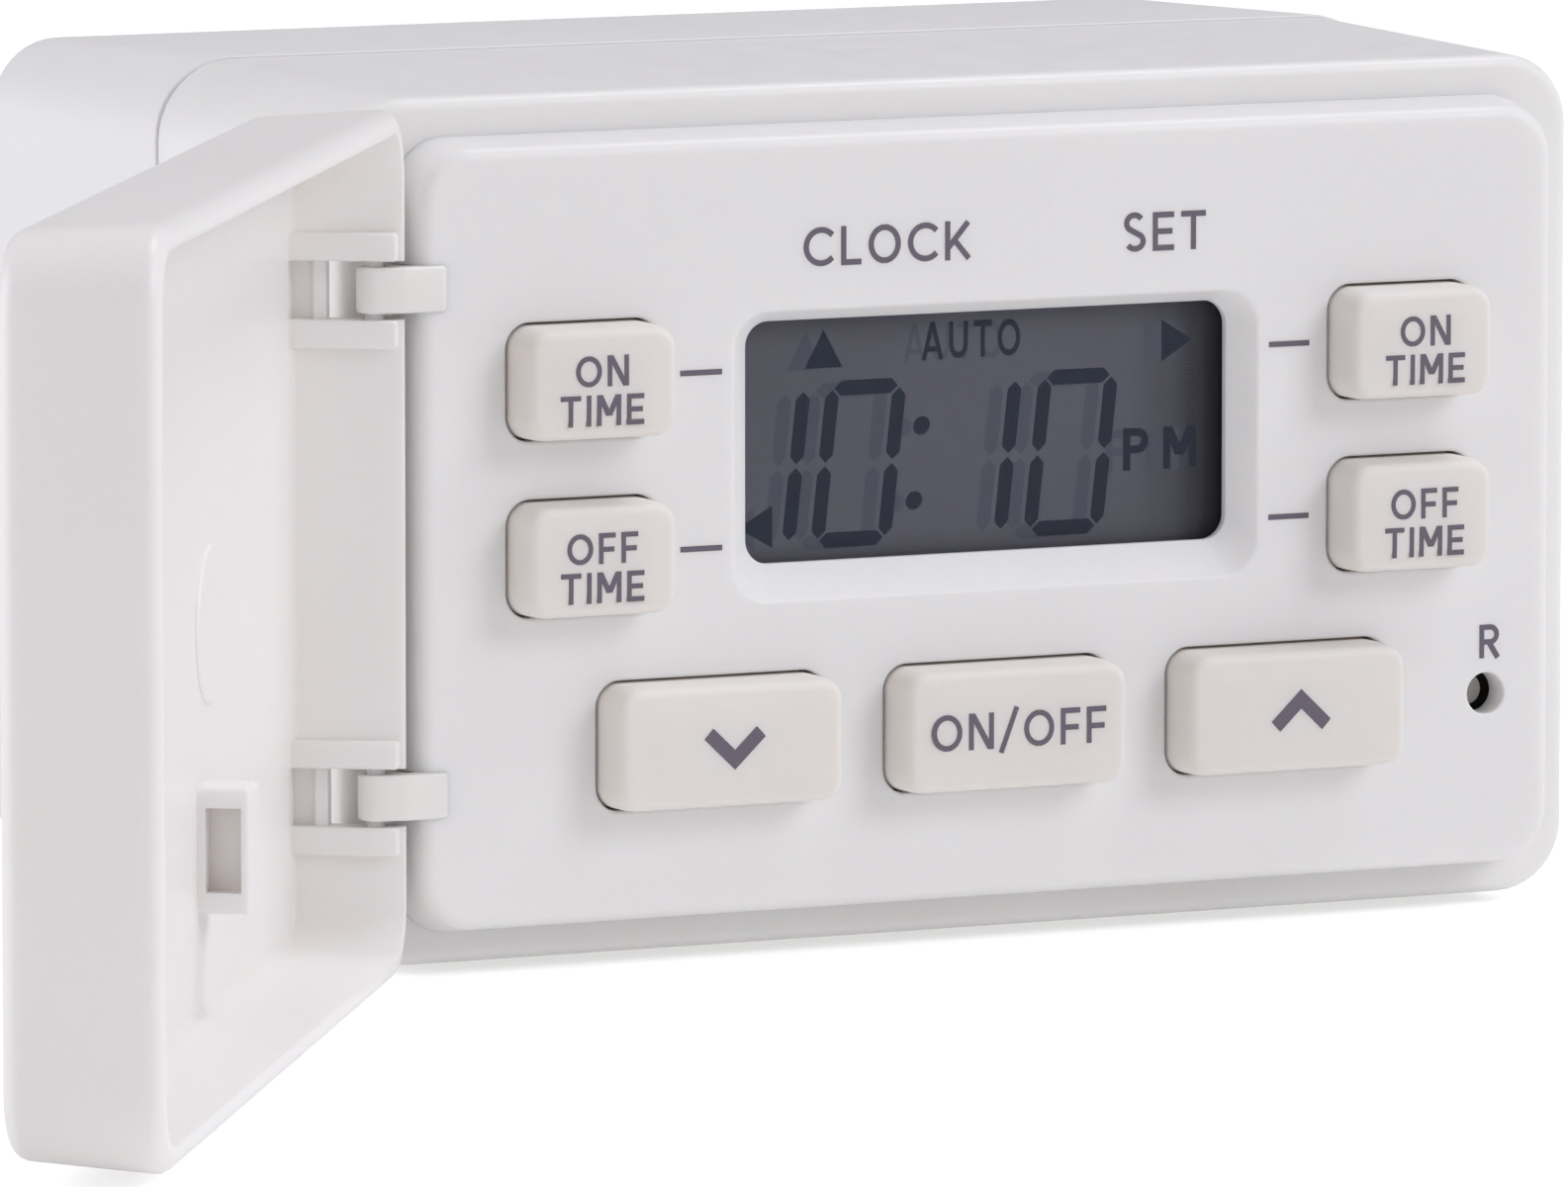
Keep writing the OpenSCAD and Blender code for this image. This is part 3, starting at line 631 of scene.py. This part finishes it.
def key_face(name):
    """Centre and size of a key's face, from its CAD node without the flange."""
    low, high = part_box("key_" + name)
    return ((low.x + high.x) / 2, (low.z + high.z) / 2,
            high.x - low.x - 2 * KEY_FLANGE, high.z - low.z - 2 * KEY_FLANGE)


def bezel_steps():
    """Soft sloped recess round the display window, from the panel's face to its back."""
    bend = 0.28 * MM
    turns = 6
    steep = math.atan2(BEZEL_DEPTH, BEZEL_FLARE)
    steps = [(BEZEL_FLARE + bend + EDGE, 0.0)]
    for k in range(turns + 1):
        turn = steep * k / turns
        steps.append((BEZEL_FLARE + bend - bend * math.sin(turn) / math.sin(steep),
                      bend * (1 - math.cos(turn)) / math.sin(steep)))
    grow, depth = steps[-1]
    for k in range(1, turns + 1):
        steps.append((grow * (1 - k / turns), depth + (BEZEL_DEPTH - depth) * k / turns))
    rings = []
    for grow, depth in steps:
        share = min(grow / BEZEL_FLARE, 1.0)
        r = WINDOW_R + (BEZEL_R - WINDOW_R) * share
        corners = box_corners(WINDOW_W + 2 * grow, WINDOW_H + 2 * grow, r, PANEL_X,
                              WINDOW_Z - BEZEL_DROP * share)
        rings.append((outline(corners), PANEL_F - depth))
    window = box_corners(WINDOW_W, WINDOW_H, WINDOW_R, PANEL_X, WINDOW_Z)
    rings.append((outline(window), PANEL_F - BEZEL_DEPTH - 0.05 * MM))
    rings.append((outline(window), PANEL_F - PANEL_T))
    return rings


def panel():
    """Raised control panel with soft edges, a sloped display window, key openings and a reset hole."""
    solid = Solid()
    face = box_corners(PANEL_W, PANEL_H, PANEL_R, PANEL_X, PANEL_Z)
    steps = [(outline(face, grow), PANEL_F + f) for grow, f in fillet(PANEL_EDGE_R)]
    foot = box_corners(PANEL_W + 2 * PANEL_DRAFT, PANEL_H + 2 * PANEL_DRAFT, PANEL_R, PANEL_X, PANEL_Z)
    tray = box_corners(*OPENING, PANEL_X, PANEL_Z)
    steps += [
        (outline(foot, -0.1 * MM), FRONT_F + 0.9 * MM),
        (outline(foot), FRONT_F),
        (outline(tray), FRONT_F),
        (outline(tray), PANEL_F - PANEL_T),
        (outline(tray, -EDGE), PANEL_F - PANEL_T),
    ]
    rings = solid.tube(steps)
    front_holes, back_holes = [], []
    openings = [bezel_steps()]
    key_mouth_r, reset_mouth_r = 0.22 * MM, 0.15 * MM
    for name in KEYS:
        x, z, w, h = key_face(name)
        hole = box_corners(w + 2 * KEY_GAP, h + 2 * KEY_GAP, KEY_R + KEY_GAP, x, z)
        openings.append([(outline(hole, grow), PANEL_F + f) for grow, f in hole_fillet(key_mouth_r)]
                        + [(outline(hole), PANEL_F - PANEL_T)])
    reset = mount["reset_hole"]
    x, z, r = reset["pos_m"][0], reset["pos_m"][2], reset["dims"]["r_mm"] * MM
    openings.append([(circle(r + grow, x, z, 40), PANEL_F + f) for grow, f in hole_fillet(reset_mouth_r)]
                    + [(circle(r, x, z, 40), PANEL_F - PANEL_T)])
    for opening in openings:
        loops = solid.tube(opening)
        front_holes.append(loops[0])
        back_holes.append(loops[-1])
    solid.cap(rings[0], *front_holes)
    solid.cap(rings[-1], *back_holes)
    piece = solid.finish("panel")
    grip = 0.04 * MM   # the panel closes tightly round the arms, without a gap
    cuts = [block("slot", (panel_low.x - 2 * MM, panel_low.y - 2 * MM, z - ARM_H / 2 + grip),
                  (arms_high.x - grip, -FRONT_F + CUT, z + ARM_H / 2 - grip)) for z in ARM_ZS]
    boolean(piece, "DIFFERENCE", cuts)
    return dress(tidy(piece), "casing", "panel_white", "panel", "fascia_panel")


# ---- keys

def key_crown(name, x, z):
    """Forward distance of a key's face at a point on it."""
    cx, cz, w, h = key_face(name)
    top = -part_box("key_" + name)[0].y
    u = min(abs(x - cx) / (w / 2), 1)
    v = min(abs(z - cz) / (h / 2), 1)
    return top - CROWN * (u ** 3 + v ** 3) / 2


def key(name):
    """Silicone key with a crowned face, soft edges, a flange behind the panel and a contact pill."""
    cx, cz, w, h = key_face(name)
    node = "key_" + name
    low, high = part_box(node)
    soft = 0.15 * MM
    back_f = PANEL_F - PANEL_T - 1.5 * MM
    flange_f = back_f + 1.2 * MM
    side_f = -low.y - CROWN - KEY_EDGE_R
    body = box_corners(w, h, KEY_R, cx, cz)
    flange = box_corners(w + 2 * KEY_FLANGE, h + 2 * KEY_FLANGE, KEY_R, cx, cz)
    solid = Solid()
    rings = solid.tube([
        (circle_like(PILL_R - 0.1 * MM, cx, cz), -high.y),
        (circle_like(PILL_R, cx, cz), -high.y + 0.1 * MM),
        (circle_like(PILL_R, cx, cz), back_f),
        (outline(flange, -soft), back_f),
        (outline(flange), back_f + soft),
        (outline(flange), flange_f - soft),
        (outline(flange, -soft), flange_f),
        (outline(body, 0.1 * MM), flange_f),
        (outline(body), flange_f + soft),
        (outline(body, -0.2 * KEY_DRAFT), side_f - 1 * MM),
    ])

    def crowned(points, lift=0.0):
        """Ring that follows the bulge of the key's face."""
        return [solid.mesh.verts.new(front_plane(p.x, p.y, lift + key_crown(name, p.x, p.y)))
                for p in points]

    face = [rings[-1]]
    turn = 8
    for k in range(turn + 1):
        t = math.pi / 2 * k / turn
        lift = side_f + KEY_EDGE_R * math.sin(t) + low.y + CROWN * math.cos(t)
        face.append(crowned(outline(body, -KEY_DRAFT - KEY_EDGE_R * (1 - math.cos(t))), lift))
    centre = Vector((cx, cz))
    for share in (0.2, 0.45, 0.7, 0.9):
        face.append(crowned([centre + (p - centre) * (1 - share)
                             for p in outline(body, -KEY_DRAFT - KEY_EDGE_R)]))
    solid.skin(face)
    solid.cap(rings[0])
    solid.cap(face[-1])
    return dress(solid.finish("soft_" + node), node + "_body", "key_silicone", "key", node)


def circle_like(r, x, z):
    """Circle whose points line up with those of a rounded rectangle."""
    points = []
    for corner in range(4):
        for k in range(ARC + 1):
            t = math.pi / 2 * (corner - 1 + (k + 0.5) / (ARC + 1))
            points.append(Vector((x + r * math.cos(t), z + r * math.sin(t))))
    return points


# ---- cover and hinge

def opened(obj):
    """Turns a piece made in the shut position to where the cover stands open at rest."""
    pivot = Matrix.Translation((HINGE_X, HINGE_Y, 0))
    obj.data.transform(pivot @ Matrix.Rotation(-OPEN_ANGLE, 4, "Z") @ pivot.inverted())
    return obj


def cover():
    """Tray-shaped cover with thin drafted walls, hinge notches between ribs, a rib box and a pad."""
    edge_r = 1.2 * MM
    rim_r = 1.1 * MM
    outer = box_corners(COVER_W - 2 * COVER_TAPER, COVER_H - 2 * COVER_TAPER, BODY_R)
    mouth = box_corners(COVER_W, COVER_H, BODY_R)
    inside = box_corners(COVER_W - 2 * COVER_T, COVER_H - 2 * COVER_T, BODY_R - COVER_T)
    floor = box_corners(COVER_W - 2 * COVER_T - 1 * MM, COVER_H - 2 * COVER_T - 1 * MM, BODY_R - COVER_T)
    steps = [(outline(outer, grow), COVER_F + f) for grow, f in fillet(edge_r)]
    steps += [(outline(mouth, grow), COVER_RIM_F - f) for grow, f in reversed(fillet(rim_r))]
    steps += [
        (outline(inside, 0.15 * MM), COVER_RIM_F),
        (outline(inside, 0.04 * MM), COVER_RIM_F + 0.04 * MM),
        (outline(inside), COVER_RIM_F + 0.15 * MM),
    ]
    steps += [(outline(floor, grow), COVER_INSIDE_F + f) for grow, f in reversed(fillet(0.5 * MM, steps=4))]
    piece = capped("cover", steps)
    boolean(piece, "UNION", cover_ribs())
    boolean(piece, "DIFFERENCE", hinge_notches() + [box_pocket()])
    boolean(piece, "UNION", hinge_pins())
    return dress(opened(tidy(piece)), "cover", "cover_white", "cover", "front_cover")


def hinge_notches():
    """Cutters: open to the rim for the arms, then a pocket that a thin web and an upright bar close."""
    side = -COVER_W / 2
    deep = side + 2 * COVER_T
    slack = 0.01 * MM
    hair = 0.001 * MM   # keeps the last cutter's planes off those of the first two
    cuts = []
    for z in ARM_ZS:
        low, high = z - NOTCH_H / 2, z + NOTCH_H / 2
        cuts.append(block("notch", (side - CUT, -NOTCH_END_F, low), (deep, -COVER_RIM_F + CUT, high)))
        cuts.append(block("pocket", (side + WEB_X, -COVER_INSIDE_F, low),
                          (deep, -NOTCH_END_F - WEB_BAR_T, high)))
        cuts.append(block("bar_top", (side + COVER_T, -COVER_INSIDE_F - hair, low + hair),
                          (deep + slack, -NOTCH_END_F + slack, high - hair)))
    return cuts


def hinge_pins():
    ring = circle(PIN_R, HINGE_X, HINGE_Y, 24)
    return [capped("pin", [(ring, z + end * (NOTCH_H / 2 + PIN_HOLD)) for end in (-1, 1)], top_plane)
            for z in ARM_ZS]


def cover_ribs():
    """Bars beside the hinge notches, a rib box that reaches between two keys, and a low round pad."""
    edge_r = 0.25 * MM
    rib_x = -COVER_W / 2 + COVER_T
    foot_f = COVER_INSIDE_F + SUNK
    parts = []
    for z in ARM_ZS:
        for side in (-1, 1):
            rib = box_corners(COVER_T, RIB_T, edge_r, rib_x, z + side * (NOTCH_H + RIB_T) / 2)
            parts.append(post("rib", rib, COVER_RIM_F + 0.3 * MM, foot_f, edge_r))
    parts.append(post("rib_box", box_corners(BOX_W, BOX_H, 0.4 * MM, BOX_X, BOX_Z),
                      COVER_INSIDE_F - BOX_RISE, foot_f, edge_r))
    parts.append(spool("pad", [(PAD_R - 0.15 * MM, COVER_INSIDE_F - PAD_RISE),
                               (PAD_R, COVER_INSIDE_F - PAD_RISE + 0.15 * MM), (PAD_R, foot_f)],
                       -12.5 * MM, -1.8 * MM, 64))
    return parts


def post(name, corners, near_f, far_f, r):
    """Upright with rounded edges at the end that faces the casing."""
    steps = [(outline(corners, grow, 5), near_f - f) for grow, f in fillet(r, 4)]
    return capped(name, [*steps, (outline(corners, 0, 5), far_f)])


def box_pocket():
    """Cutter for the pocket in the rib box's side."""
    depth, along, height, gap = 1.8 * MM, 2.2 * MM, 5.2 * MM, 0.5 * MM
    near = COVER_INSIDE_F - BOX_RISE + gap
    right = BOX_X + BOX_W / 2
    return block("pocket", (right - depth, -near - along, BOX_Z - height / 2),
                 (right + depth, -near, BOX_Z + height / 2))


def arm_outline():
    """Plan view of a hinge arm: a knuckle at the pin, a bow over the rim and a leg in the panel."""
    thick = 1.4 * MM
    knuckle_r = KNUCKLE_R * 0.98
    tip = arms_high.x
    crest = arms_low.y
    foot = -(PANEL_F - PANEL_T)
    return [
        (HINGE_X - KNUCKLE_R, HINGE_Y - KNUCKLE_R, knuckle_r),
        (-41.4 * MM, crest, 0.5 * MM),
        (tip, crest, 0.5 * MM),
        (tip, foot, 0.1 * MM),
        (tip - thick, foot, 0.1 * MM),
        (tip - thick, crest + thick, 0.35 * MM),
        (-40.9 * MM, crest + thick, 0.35 * MM),
        (HINGE_X + KNUCKLE_R, HINGE_Y + KNUCKLE_R, knuckle_r),
        (HINGE_X - KNUCKLE_R, HINGE_Y + KNUCKLE_R, knuckle_r),
    ]


def hinge_arm(index, z):
    """One arm with rounded edges and a bore for the cover's pin."""
    corners = arm_outline()
    mouth = 0.12 * MM
    low, high = z - ARM_H / 2, z + ARM_H / 2
    turn = fillet(0.2 * MM, 3)
    solid = Solid(top_plane)
    rings = solid.tube([(outline(corners, grow, 6), low - f) for grow, f in turn]
                       + [(outline(corners, grow, 6), high + f) for grow, f in reversed(turn)])
    wide, narrow = (circle(r, HINGE_X, HINGE_Y) for r in (BORE_R + mouth, BORE_R))
    hole = solid.tube([(wide, low), (narrow, low + mouth), (narrow, high - mouth), (wide, high)])
    solid.cap(rings[0], hole[0])
    solid.cap(rings[-1], hole[-1])
    return solid.finish(f"hinge_arm_{index}")


def hinge_arms():
    """Two gooseneck arms clipped into the panel; the first stands for the CAD pair."""
    for index, z in enumerate(ARM_ZS):
        nodes = () if index else ("hinge_arms",)
        dress(hinge_arm(index, z), "casing", "hinge_white", "arm", *nodes)


# ---- lettering and figures

def stroke(points, width):
    """Outline of a line of the given width through the points, with square ends."""
    left, right = [], []
    for i, p in enumerate(points):
        before = (p - points[i - 1]).normalized() if i else None
        after = (points[i + 1] - p).normalized() if i + 1 < len(points) else None
        a, b = before or after, after or before
        na, nb = Vector((-a.y, a.x)), Vector((-b.y, b.x))
        miter = (na + nb) / (1 + na.dot(nb)) * width / 2
        left.append(p + miter)
        right.append(p - miter)
    return left + right[::-1]


def arc(x, y, rx, ry, start, end, steps=14):
    """Points of an elliptical arc, angles in degrees."""
    turns = [math.radians(start + (end - start) * k / steps) for k in range(steps + 1)]
    return [Vector((x + rx * math.cos(turn), y + ry * math.sin(turn))) for turn in turns]


def line(*pairs):
    return [Vector(p) for p in pairs]


def glyph(letter, w):
    """Shapes and width of a capital with unit height, drawn with strokes of width w."""
    m = w / 2
    slope = 1.25 * w

    def bar(*pairs):
        return stroke(line(*pairs), w)

    if letter == "I":
        return [bar((m, 0), (m, 1))], w
    if letter == "L":
        return [bar((m, 1), (m, m), (0.58, m))], 0.58
    if letter == "T":
        return [bar((0, 1 - m), (0.72, 1 - m)), bar((0.36, 0), (0.36, 1 - m))], 0.72
    if letter == "E":
        return [bar((0.62, 1 - m), (m, 1 - m), (m, m), (0.62, m)),
                bar((m, 0.5), (0.57, 0.5))], 0.62
    if letter == "F":
        return [bar((0.6, 1 - m), (m, 1 - m), (m, 0)),
                bar((m, 0.47), (0.55, 0.47))], 0.6
    if letter == "N":
        return [bar((m, 0), (m, 1)), bar((0.76 - m, 0), (0.76 - m, 1)),
                line((0, 1), (0.76 - slope, 0), (0.76, 0), (slope, 1))], 0.76
    if letter == "M":
        wide = 0.86
        near, far = (wide - slope) / 2, (wide + slope) / 2
        return [bar((m, 0), (m, 1)), bar((wide - m, 0), (wide - m, 1)),
                line((0, 1), (near, 0.32), (far, 0.32), (slope, 1)),
                line((wide, 1), (wide - slope, 1), (near, 0.32), (far, 0.32))], wide
    if letter == "O":
        r = 0.5 - m
        return [stroke(arc(0.46, 0.5, 0.46 - m, r, -90, 90), w),
                stroke(arc(0.46, 0.5, 0.46 - m, r, 90, 270), w)], 0.92
    if letter == "C":
        return [stroke(arc(0.5, 0.5, 0.5 - m, 0.5 - m, 42, 318, 22), w)], 0.86
    if letter == "S":
        upper = arc(0.31, 0.74, 0.3 - m, 0.26 - m + 0.02, 30, 250, 12)
        lower = arc(0.33, 0.27, 0.31 - m, 0.27 - m, 70, -150, 12)
        return [stroke(upper + lower, w)], 0.64
    if letter == "K":
        return [bar((m, 0), (m, 1)), bar((m, 0.3), (0.66, 0.97)),
                bar((0.28, 0.5), (0.68, 0.03))], 0.74
    if letter == "A":
        wide = 0.86
        return [bar((m * 0.9, 0), (wide / 2, 1)),
                bar((wide - m * 0.9, 0), (wide / 2, 1)),
                stroke(line((0.2, 0.28), (wide - 0.2, 0.28)), w * 0.9)], wide
    if letter == "U":
        wide = 0.76
        r = wide / 2 - m
        return [stroke(line((m, 1)) + arc(wide / 2, m + r, r, r, 180, 360) + line((wide - m, 1)), w)], wide
    if letter in "PR":
        r = 0.3 - m
        bowl = line((m, 1 - m)) + arc(0.36, 1 - m - r, r, r, 90, -90) + line((m, 1 - m - 2 * r))
        shapes = [bar((m, 0), (m, 1)), stroke(bowl, w)]
        if letter == "R":
            shapes.append(stroke(line((0.34, 0.44), (0.62, 0.0)), w * 1.1))
        return shapes, 0.68
    if letter == "/":
        return [bar((0.02, -0.12), (0.5, 1.12))], 0.52
    raise ValueError(letter)


def word(text, cap, weight=0.165, gap=0.2, squeeze=1.0):
    """Shapes of a word with the given cap height, centred on the origin. squeeze narrows it."""
    shapes, x = [], 0.0
    for letter in text:
        parts, width = glyph(letter, weight)
        shapes += [[Vector((p.x + x, p.y)) for p in part] for part in parts]
        x += width + gap
    middle = Vector(((x - gap) / 2, 0.5))
    return [[Vector(((p.x - middle.x) * cap * squeeze, (p.y - middle.y) * cap)) for p in shape]
            for shape in shapes]


def moved(shapes, x, z):
    return [[p + Vector((x, z)) for p in shape] for shape in shapes]


def slab(name, shapes, surface, thick, sunk):
    """Thin closed slab over the union of flat shapes. surface gives the forward distance at a point."""
    scale = 1 / MM
    points, faces = [], []
    for shape in shapes:
        area = sum(a.x * b.y - a.y * b.x for a, b in zip(shape, shape[1:] + shape[:1]))
        ordered = shape if area > 0 else shape[::-1]
        faces.append(list(range(len(points), len(points) + len(ordered))))
        points += [p * scale for p in ordered]
    verts, _, tris, _, _, sources = delaunay_2d_cdt(points, [], faces, 1, 1e-5)
    tris = [tri for tri, inside in zip(tris, sources) if inside]
    mesh = bmesh.new()
    flat = [(v.x / scale, v.y / scale) for v in verts]
    tops = [mesh.verts.new(front_plane(x, z, surface(x, z) + thick)) for x, z in flat]
    backs = [mesh.verts.new(front_plane(x, z, surface(x, z) - sunk)) for x, z in flat]
    edges = {}
    for tri in tris:
        mesh.faces.new([tops[i] for i in tri])
        mesh.faces.new([backs[i] for i in reversed(tri)])
        for a, b in zip(tri, tri[1:] + tri[:1]):
            edges[(a, b)] = True
    for a, b in edges:
        if (b, a) not in edges:
            mesh.faces.new((tops[b], tops[a], backs[a], backs[b]))
    loose = [v for v in mesh.verts if not v.link_faces]
    bmesh.ops.delete(mesh, geom=loose, context="VERTS")
    bmesh.ops.recalc_face_normals(mesh, faces=mesh.faces)
    return make_object(name, mesh)


def chevron(up):
    """Arrow that points up or down."""
    width, height, weight = 4.3 * MM, 2.8 * MM, 0.92 * MM
    side = 1 if up else -1
    return [stroke(line((-width / 2 + weight / 3, -side * height * 0.32), (0, side * height * 0.3),
                        (width / 2 - weight / 3, -side * height * 0.32)), weight)]


def key_labels():
    """Printed function words on each key, which move with it."""
    cap = 1.96 * MM
    line_gap = 1.24 * MM
    middle = -0.38 * MM
    inward = 0.25 * MM
    for name in KEYS:
        x, z, _, _ = key_face(name)
        if name in ("down", "up"):
            shapes = chevron(name == "up")
        elif name == "on_off":
            shapes = moved(word("ON/OFF", 2.35 * MM, 0.15), -0.1 * MM, 0)
        else:
            first = "ON" if name.startswith("on") else "OFF"
            side = -inward if name.endswith("left") else 0
            shapes = moved(word(first, cap), side, middle + line_gap)
            shapes += moved(word("TIME", cap), side, middle - line_gap)
        piece = slab("print_" + name, moved(shapes, x, z), lambda u, v, n=name: key_crown(n, u, v),
                     PRINT_UP, PRINT_DOWN)
        dress(piece, f"key_{name}_body", "key_silicone", "print")


def panel_labels():
    """Words and pointer lines printed on the panel."""
    def bar(x0, x1, z, t=0.36 * MM):
        return line((x0, z - t / 2), (x1, z - t / 2), (x1, z + t / 2), (x0, z + t / 2))
    shapes = moved(word("CLOCK", 2.5 * MM, 0.15), -7.5 * MM, 17.35 * MM)
    shapes += moved(word("SET", 2.5 * MM, 0.15), 12.4 * MM, 17.35 * MM)
    reset = mount["reset_hole"]["pos_m"]
    shapes += moved(word("R", 2.2 * MM, 0.16), reset[0] + 0.25 * MM, reset[2] + 3.4 * MM)
    for name in KEYS[:4]:
        x, z, w, _ = key_face(name)
        side = 1 if x < PANEL_X else -1
        near = x + side * (w / 2 + 1.55 * MM)
        far = near + side * 2.95 * MM
        shapes.append(bar(min(near, far), max(near, far), z + 0.1 * MM))
    piece = slab("panel_print", shapes, lambda u, v: PANEL_F, PRINT_UP, PRINT_DOWN)
    return dress(piece, "casing", "panel_white", "print")


# Ends of the lit segments: t, m, b for the height and l, r for the side.
SEGMENTS = {"0": ("tl tr", "tr mr", "mr br", "bl br", "ml bl", "tl ml"), "1": ("tr mr", "mr br")}


def digit_segments(digit, w, h, t, gap):
    """Seven-segment figure centred on the origin, with mitred segment ends."""
    m = t / 2
    x, z = w / 2 - m, h / 2 - m
    corner = {"tl": (-x, z), "tr": (x, z), "ml": (-x, 0), "mr": (x, 0), "bl": (-x, -z), "br": (x, -z)}
    shapes = []
    for ends in SEGMENTS[digit]:
        a, b = (Vector(corner[end]) for end in ends.split())
        along = (b - a).normalized()
        across = Vector((-along.y, along.x))
        a, b = a + along * gap, b - along * gap
        shapes.append([a, a + along * m - across * m, b - along * m - across * m, b,
                       b - along * m + across * m, a + along * m + across * m])
    return shapes


def display_figures():
    """All dark figures of the display; the digits lean to the right."""
    lean = math.tan(math.radians(6.4))
    digit_w, digit_h, thick, gap = 5.75 * MM, 10.7 * MM, 0.98 * MM, 0.12 * MM
    shapes = []
    for x, digit in ((-12.8 * MM, "1"), (-8.35 * MM, "0"), (2.35 * MM, "1"), (6.9 * MM, "0")):
        width = digit_w if digit == "0" else thick
        shapes += moved(digit_segments(digit, width, digit_h, thick, gap), x, 0)
    for z in (2.2 * MM, -2.6 * MM):
        shapes.append([Vector((-4.1 * MM, z)) + p for p in circle(0.6 * MM, 0, 0, 20)])
    shapes = [[Vector((p.x + lean * p.y, p.y)) for p in shape] for shape in shapes]
    shapes = moved(shapes, (glass_low.x + glass_high.x) / 2, 3.05 * MM)
    shapes += moved(word("AUTO", 2.4 * MM, 0.17, 0.24, 0.74), 0.1 * MM, 10.65 * MM)
    shapes += moved(word("PM", 2.75 * MM, 0.19, 0.36, 1.02), 13.75 * MM, 3.0 * MM)
    triangle = line((-1.35 * MM, -1.15 * MM), (1.35 * MM, -1.15 * MM), (0, 1.3 * MM))
    shapes += moved([triangle], -10.45 * MM, 10.4 * MM)
    shapes += moved([[Vector((p.y * 0.9, -p.x)) for p in triangle]], 14.9 * MM, 9.95 * MM)
    shapes += moved([[Vector((-p.y, p.x)) for p in triangle]], -15.25 * MM, -0.75 * MM)
    return shapes


def display():
    """Display figures and, beside them, a painted shadow: a faint slab for their shadows on the reflector behind
    the glass.
    """
    face = -glass_low.y
    shapes = display_figures()
    # painted shadow: a faint slab offset from the figures, where their shadows on the reflector fall
    shadow = moved(shapes, -1.3 * MM, -0.1 * MM)
    painted_shadow = slab("display_shadows", shadow, lambda u, v: face, 0.002 * MM, 0.01 * MM)
    dress(painted_shadow, "casing", "lcd_glass", "painted_shadow")
    dark = slab("display_figures", shapes, lambda u, v: face, 0.005 * MM, 0.01 * MM)
    dress(dark, "casing", "lcd_glass", "segment")


# ---- pieces kept from the CAD

def soften(node, width):
    """Rounds a CAD node's edges with a modifier."""
    step = frame["nodes"][node].modifiers.new("edges", "BEVEL")
    step.width = width
    step.segments = 2
    step.limit_method = "ANGLE"
    step.angle_limit = math.radians(40)
    step.harden_normals = False


def finish_cad_nodes():
    """Materials, and softer edges, for every node that keeps its CAD shape."""
    looks = {
        "keypad_mat": "mat", "display_lens": "lens", "lcd_glass": "display", "lcd_connectors": "strip",
        "control_board": "board", "power_board": "board", "controller_chip": "black", "backup_cell": "cell",
        "reset_switch": "black", "reset_plunger": "plunger", "ribbon_cable": "ribbon", "relay": "relay",
        "filter_capacitor": "capacitor", "smoothing_capacitor": "can", "line_blade": "brass",
        "neutral_blade": "brass", "earth_pin": "brass", "line_contact": "brass", "neutral_contact": "brass",
        "earth_contact": "brass", "contact_carrier": "black", "housing_screws": "steel",
        "board_screws": "steel", "power_board_screws": "steel",
    }
    for node, material in looks.items():
        coat(frame["nodes"][node], material)
    for node in ("line_blade", "neutral_blade", "relay", "filter_capacitor", "contact_carrier",
                 "controller_chip"):
        soften(node, 0.12 * MM)


# ---- stage

def studio():
    """Plain pale floor, pale surroundings and three large soft lights."""
    floor_z = cad_low.z - 0.02 * MM
    bpy.ops.mesh.primitive_plane_add(size=8, location=(0, 0, floor_z))
    floor = bpy.context.object
    floor.name = "floor"
    look = Look("floor_white")
    seen = look.add("LightPath", {}, "Is Camera Ray")
    glow = look.add("MapRange", {"To Min": 0.24, "Value": seen}, "Result")
    look.feed(look.shader, {"Base Color": (0.9, 0.9, 0.9, 1), "Roughness": 0.9,
                            "Emission Color": (0.5, 0.5, 0.5, 1), "Emission Strength": glow})
    floor.data.materials.append(look.material)
    world = bpy.data.worlds.new("studio")
    bpy.context.scene.world = world
    world.use_nodes = True
    background = world.node_tree.nodes["Background"].inputs
    background["Color"].default_value = (0.975, 0.95, 1.0, 1)
    background["Strength"].default_value = 0.4
    cool = (0.925, 0.945, 1.0)
    target = Vector((0, -0.03, 0))
    for name, place, size, power in (
        ("key_light", (0.95, -1.22, 0.85), 0.7, 8.3),
        ("back_light", (-1.25, 0.4, 0.45), 0.9, 8.4),
        ("top_light", (0.65, -0.2, 1.35), 0.5, 6.6),
    ):
        data = bpy.data.lights.new(name, "AREA")
        data.shape = "SQUARE"
        data.size = size
        data.energy = power
        data.color = cool
        lamp = bpy.data.objects.new(name, data)
        lamp.location = place
        lamp.rotation_mode = "QUATERNION"
        lamp.rotation_quaternion = (target - Vector(place)).to_track_quat("-Z", "Y")
        bpy.context.scene.collection.objects.link(lamp)
    bpy.context.scene.view_settings.view_transform = "Standard"


def camera():
    """Long lens from the left, slightly above the casing."""
    azimuth, elevation = math.radians(-26.24), math.radians(6.61)
    aim = Vector((-10.1 * MM, -50.0 * MM, -5.9 * MM))
    distance = 0.9406
    back = Vector((math.sin(azimuth) * math.cos(elevation), -math.cos(azimuth) * math.cos(elevation),
                   math.sin(elevation)))
    data = bpy.data.cameras.new("camera")
    data.lens = 336.2
    data.sensor_width = 36
    data.clip_start = 0.05
    data.clip_end = 20
    view = bpy.data.objects.new("camera", data)
    view.location = aim + back * distance
    view.rotation_mode = "QUATERNION"
    view.rotation_quaternion = (-back).to_track_quat("-Z", "Y")
    bpy.context.scene.collection.objects.link(view)
    bpy.context.scene.camera = view


camera()
studio()
front_casing()
rear_casing()
panel()
for key_name in KEYS:
    key(key_name)
cover()
hinge_arms()
key_labels()
panel_labels()
display()
finish_cad_nodes()
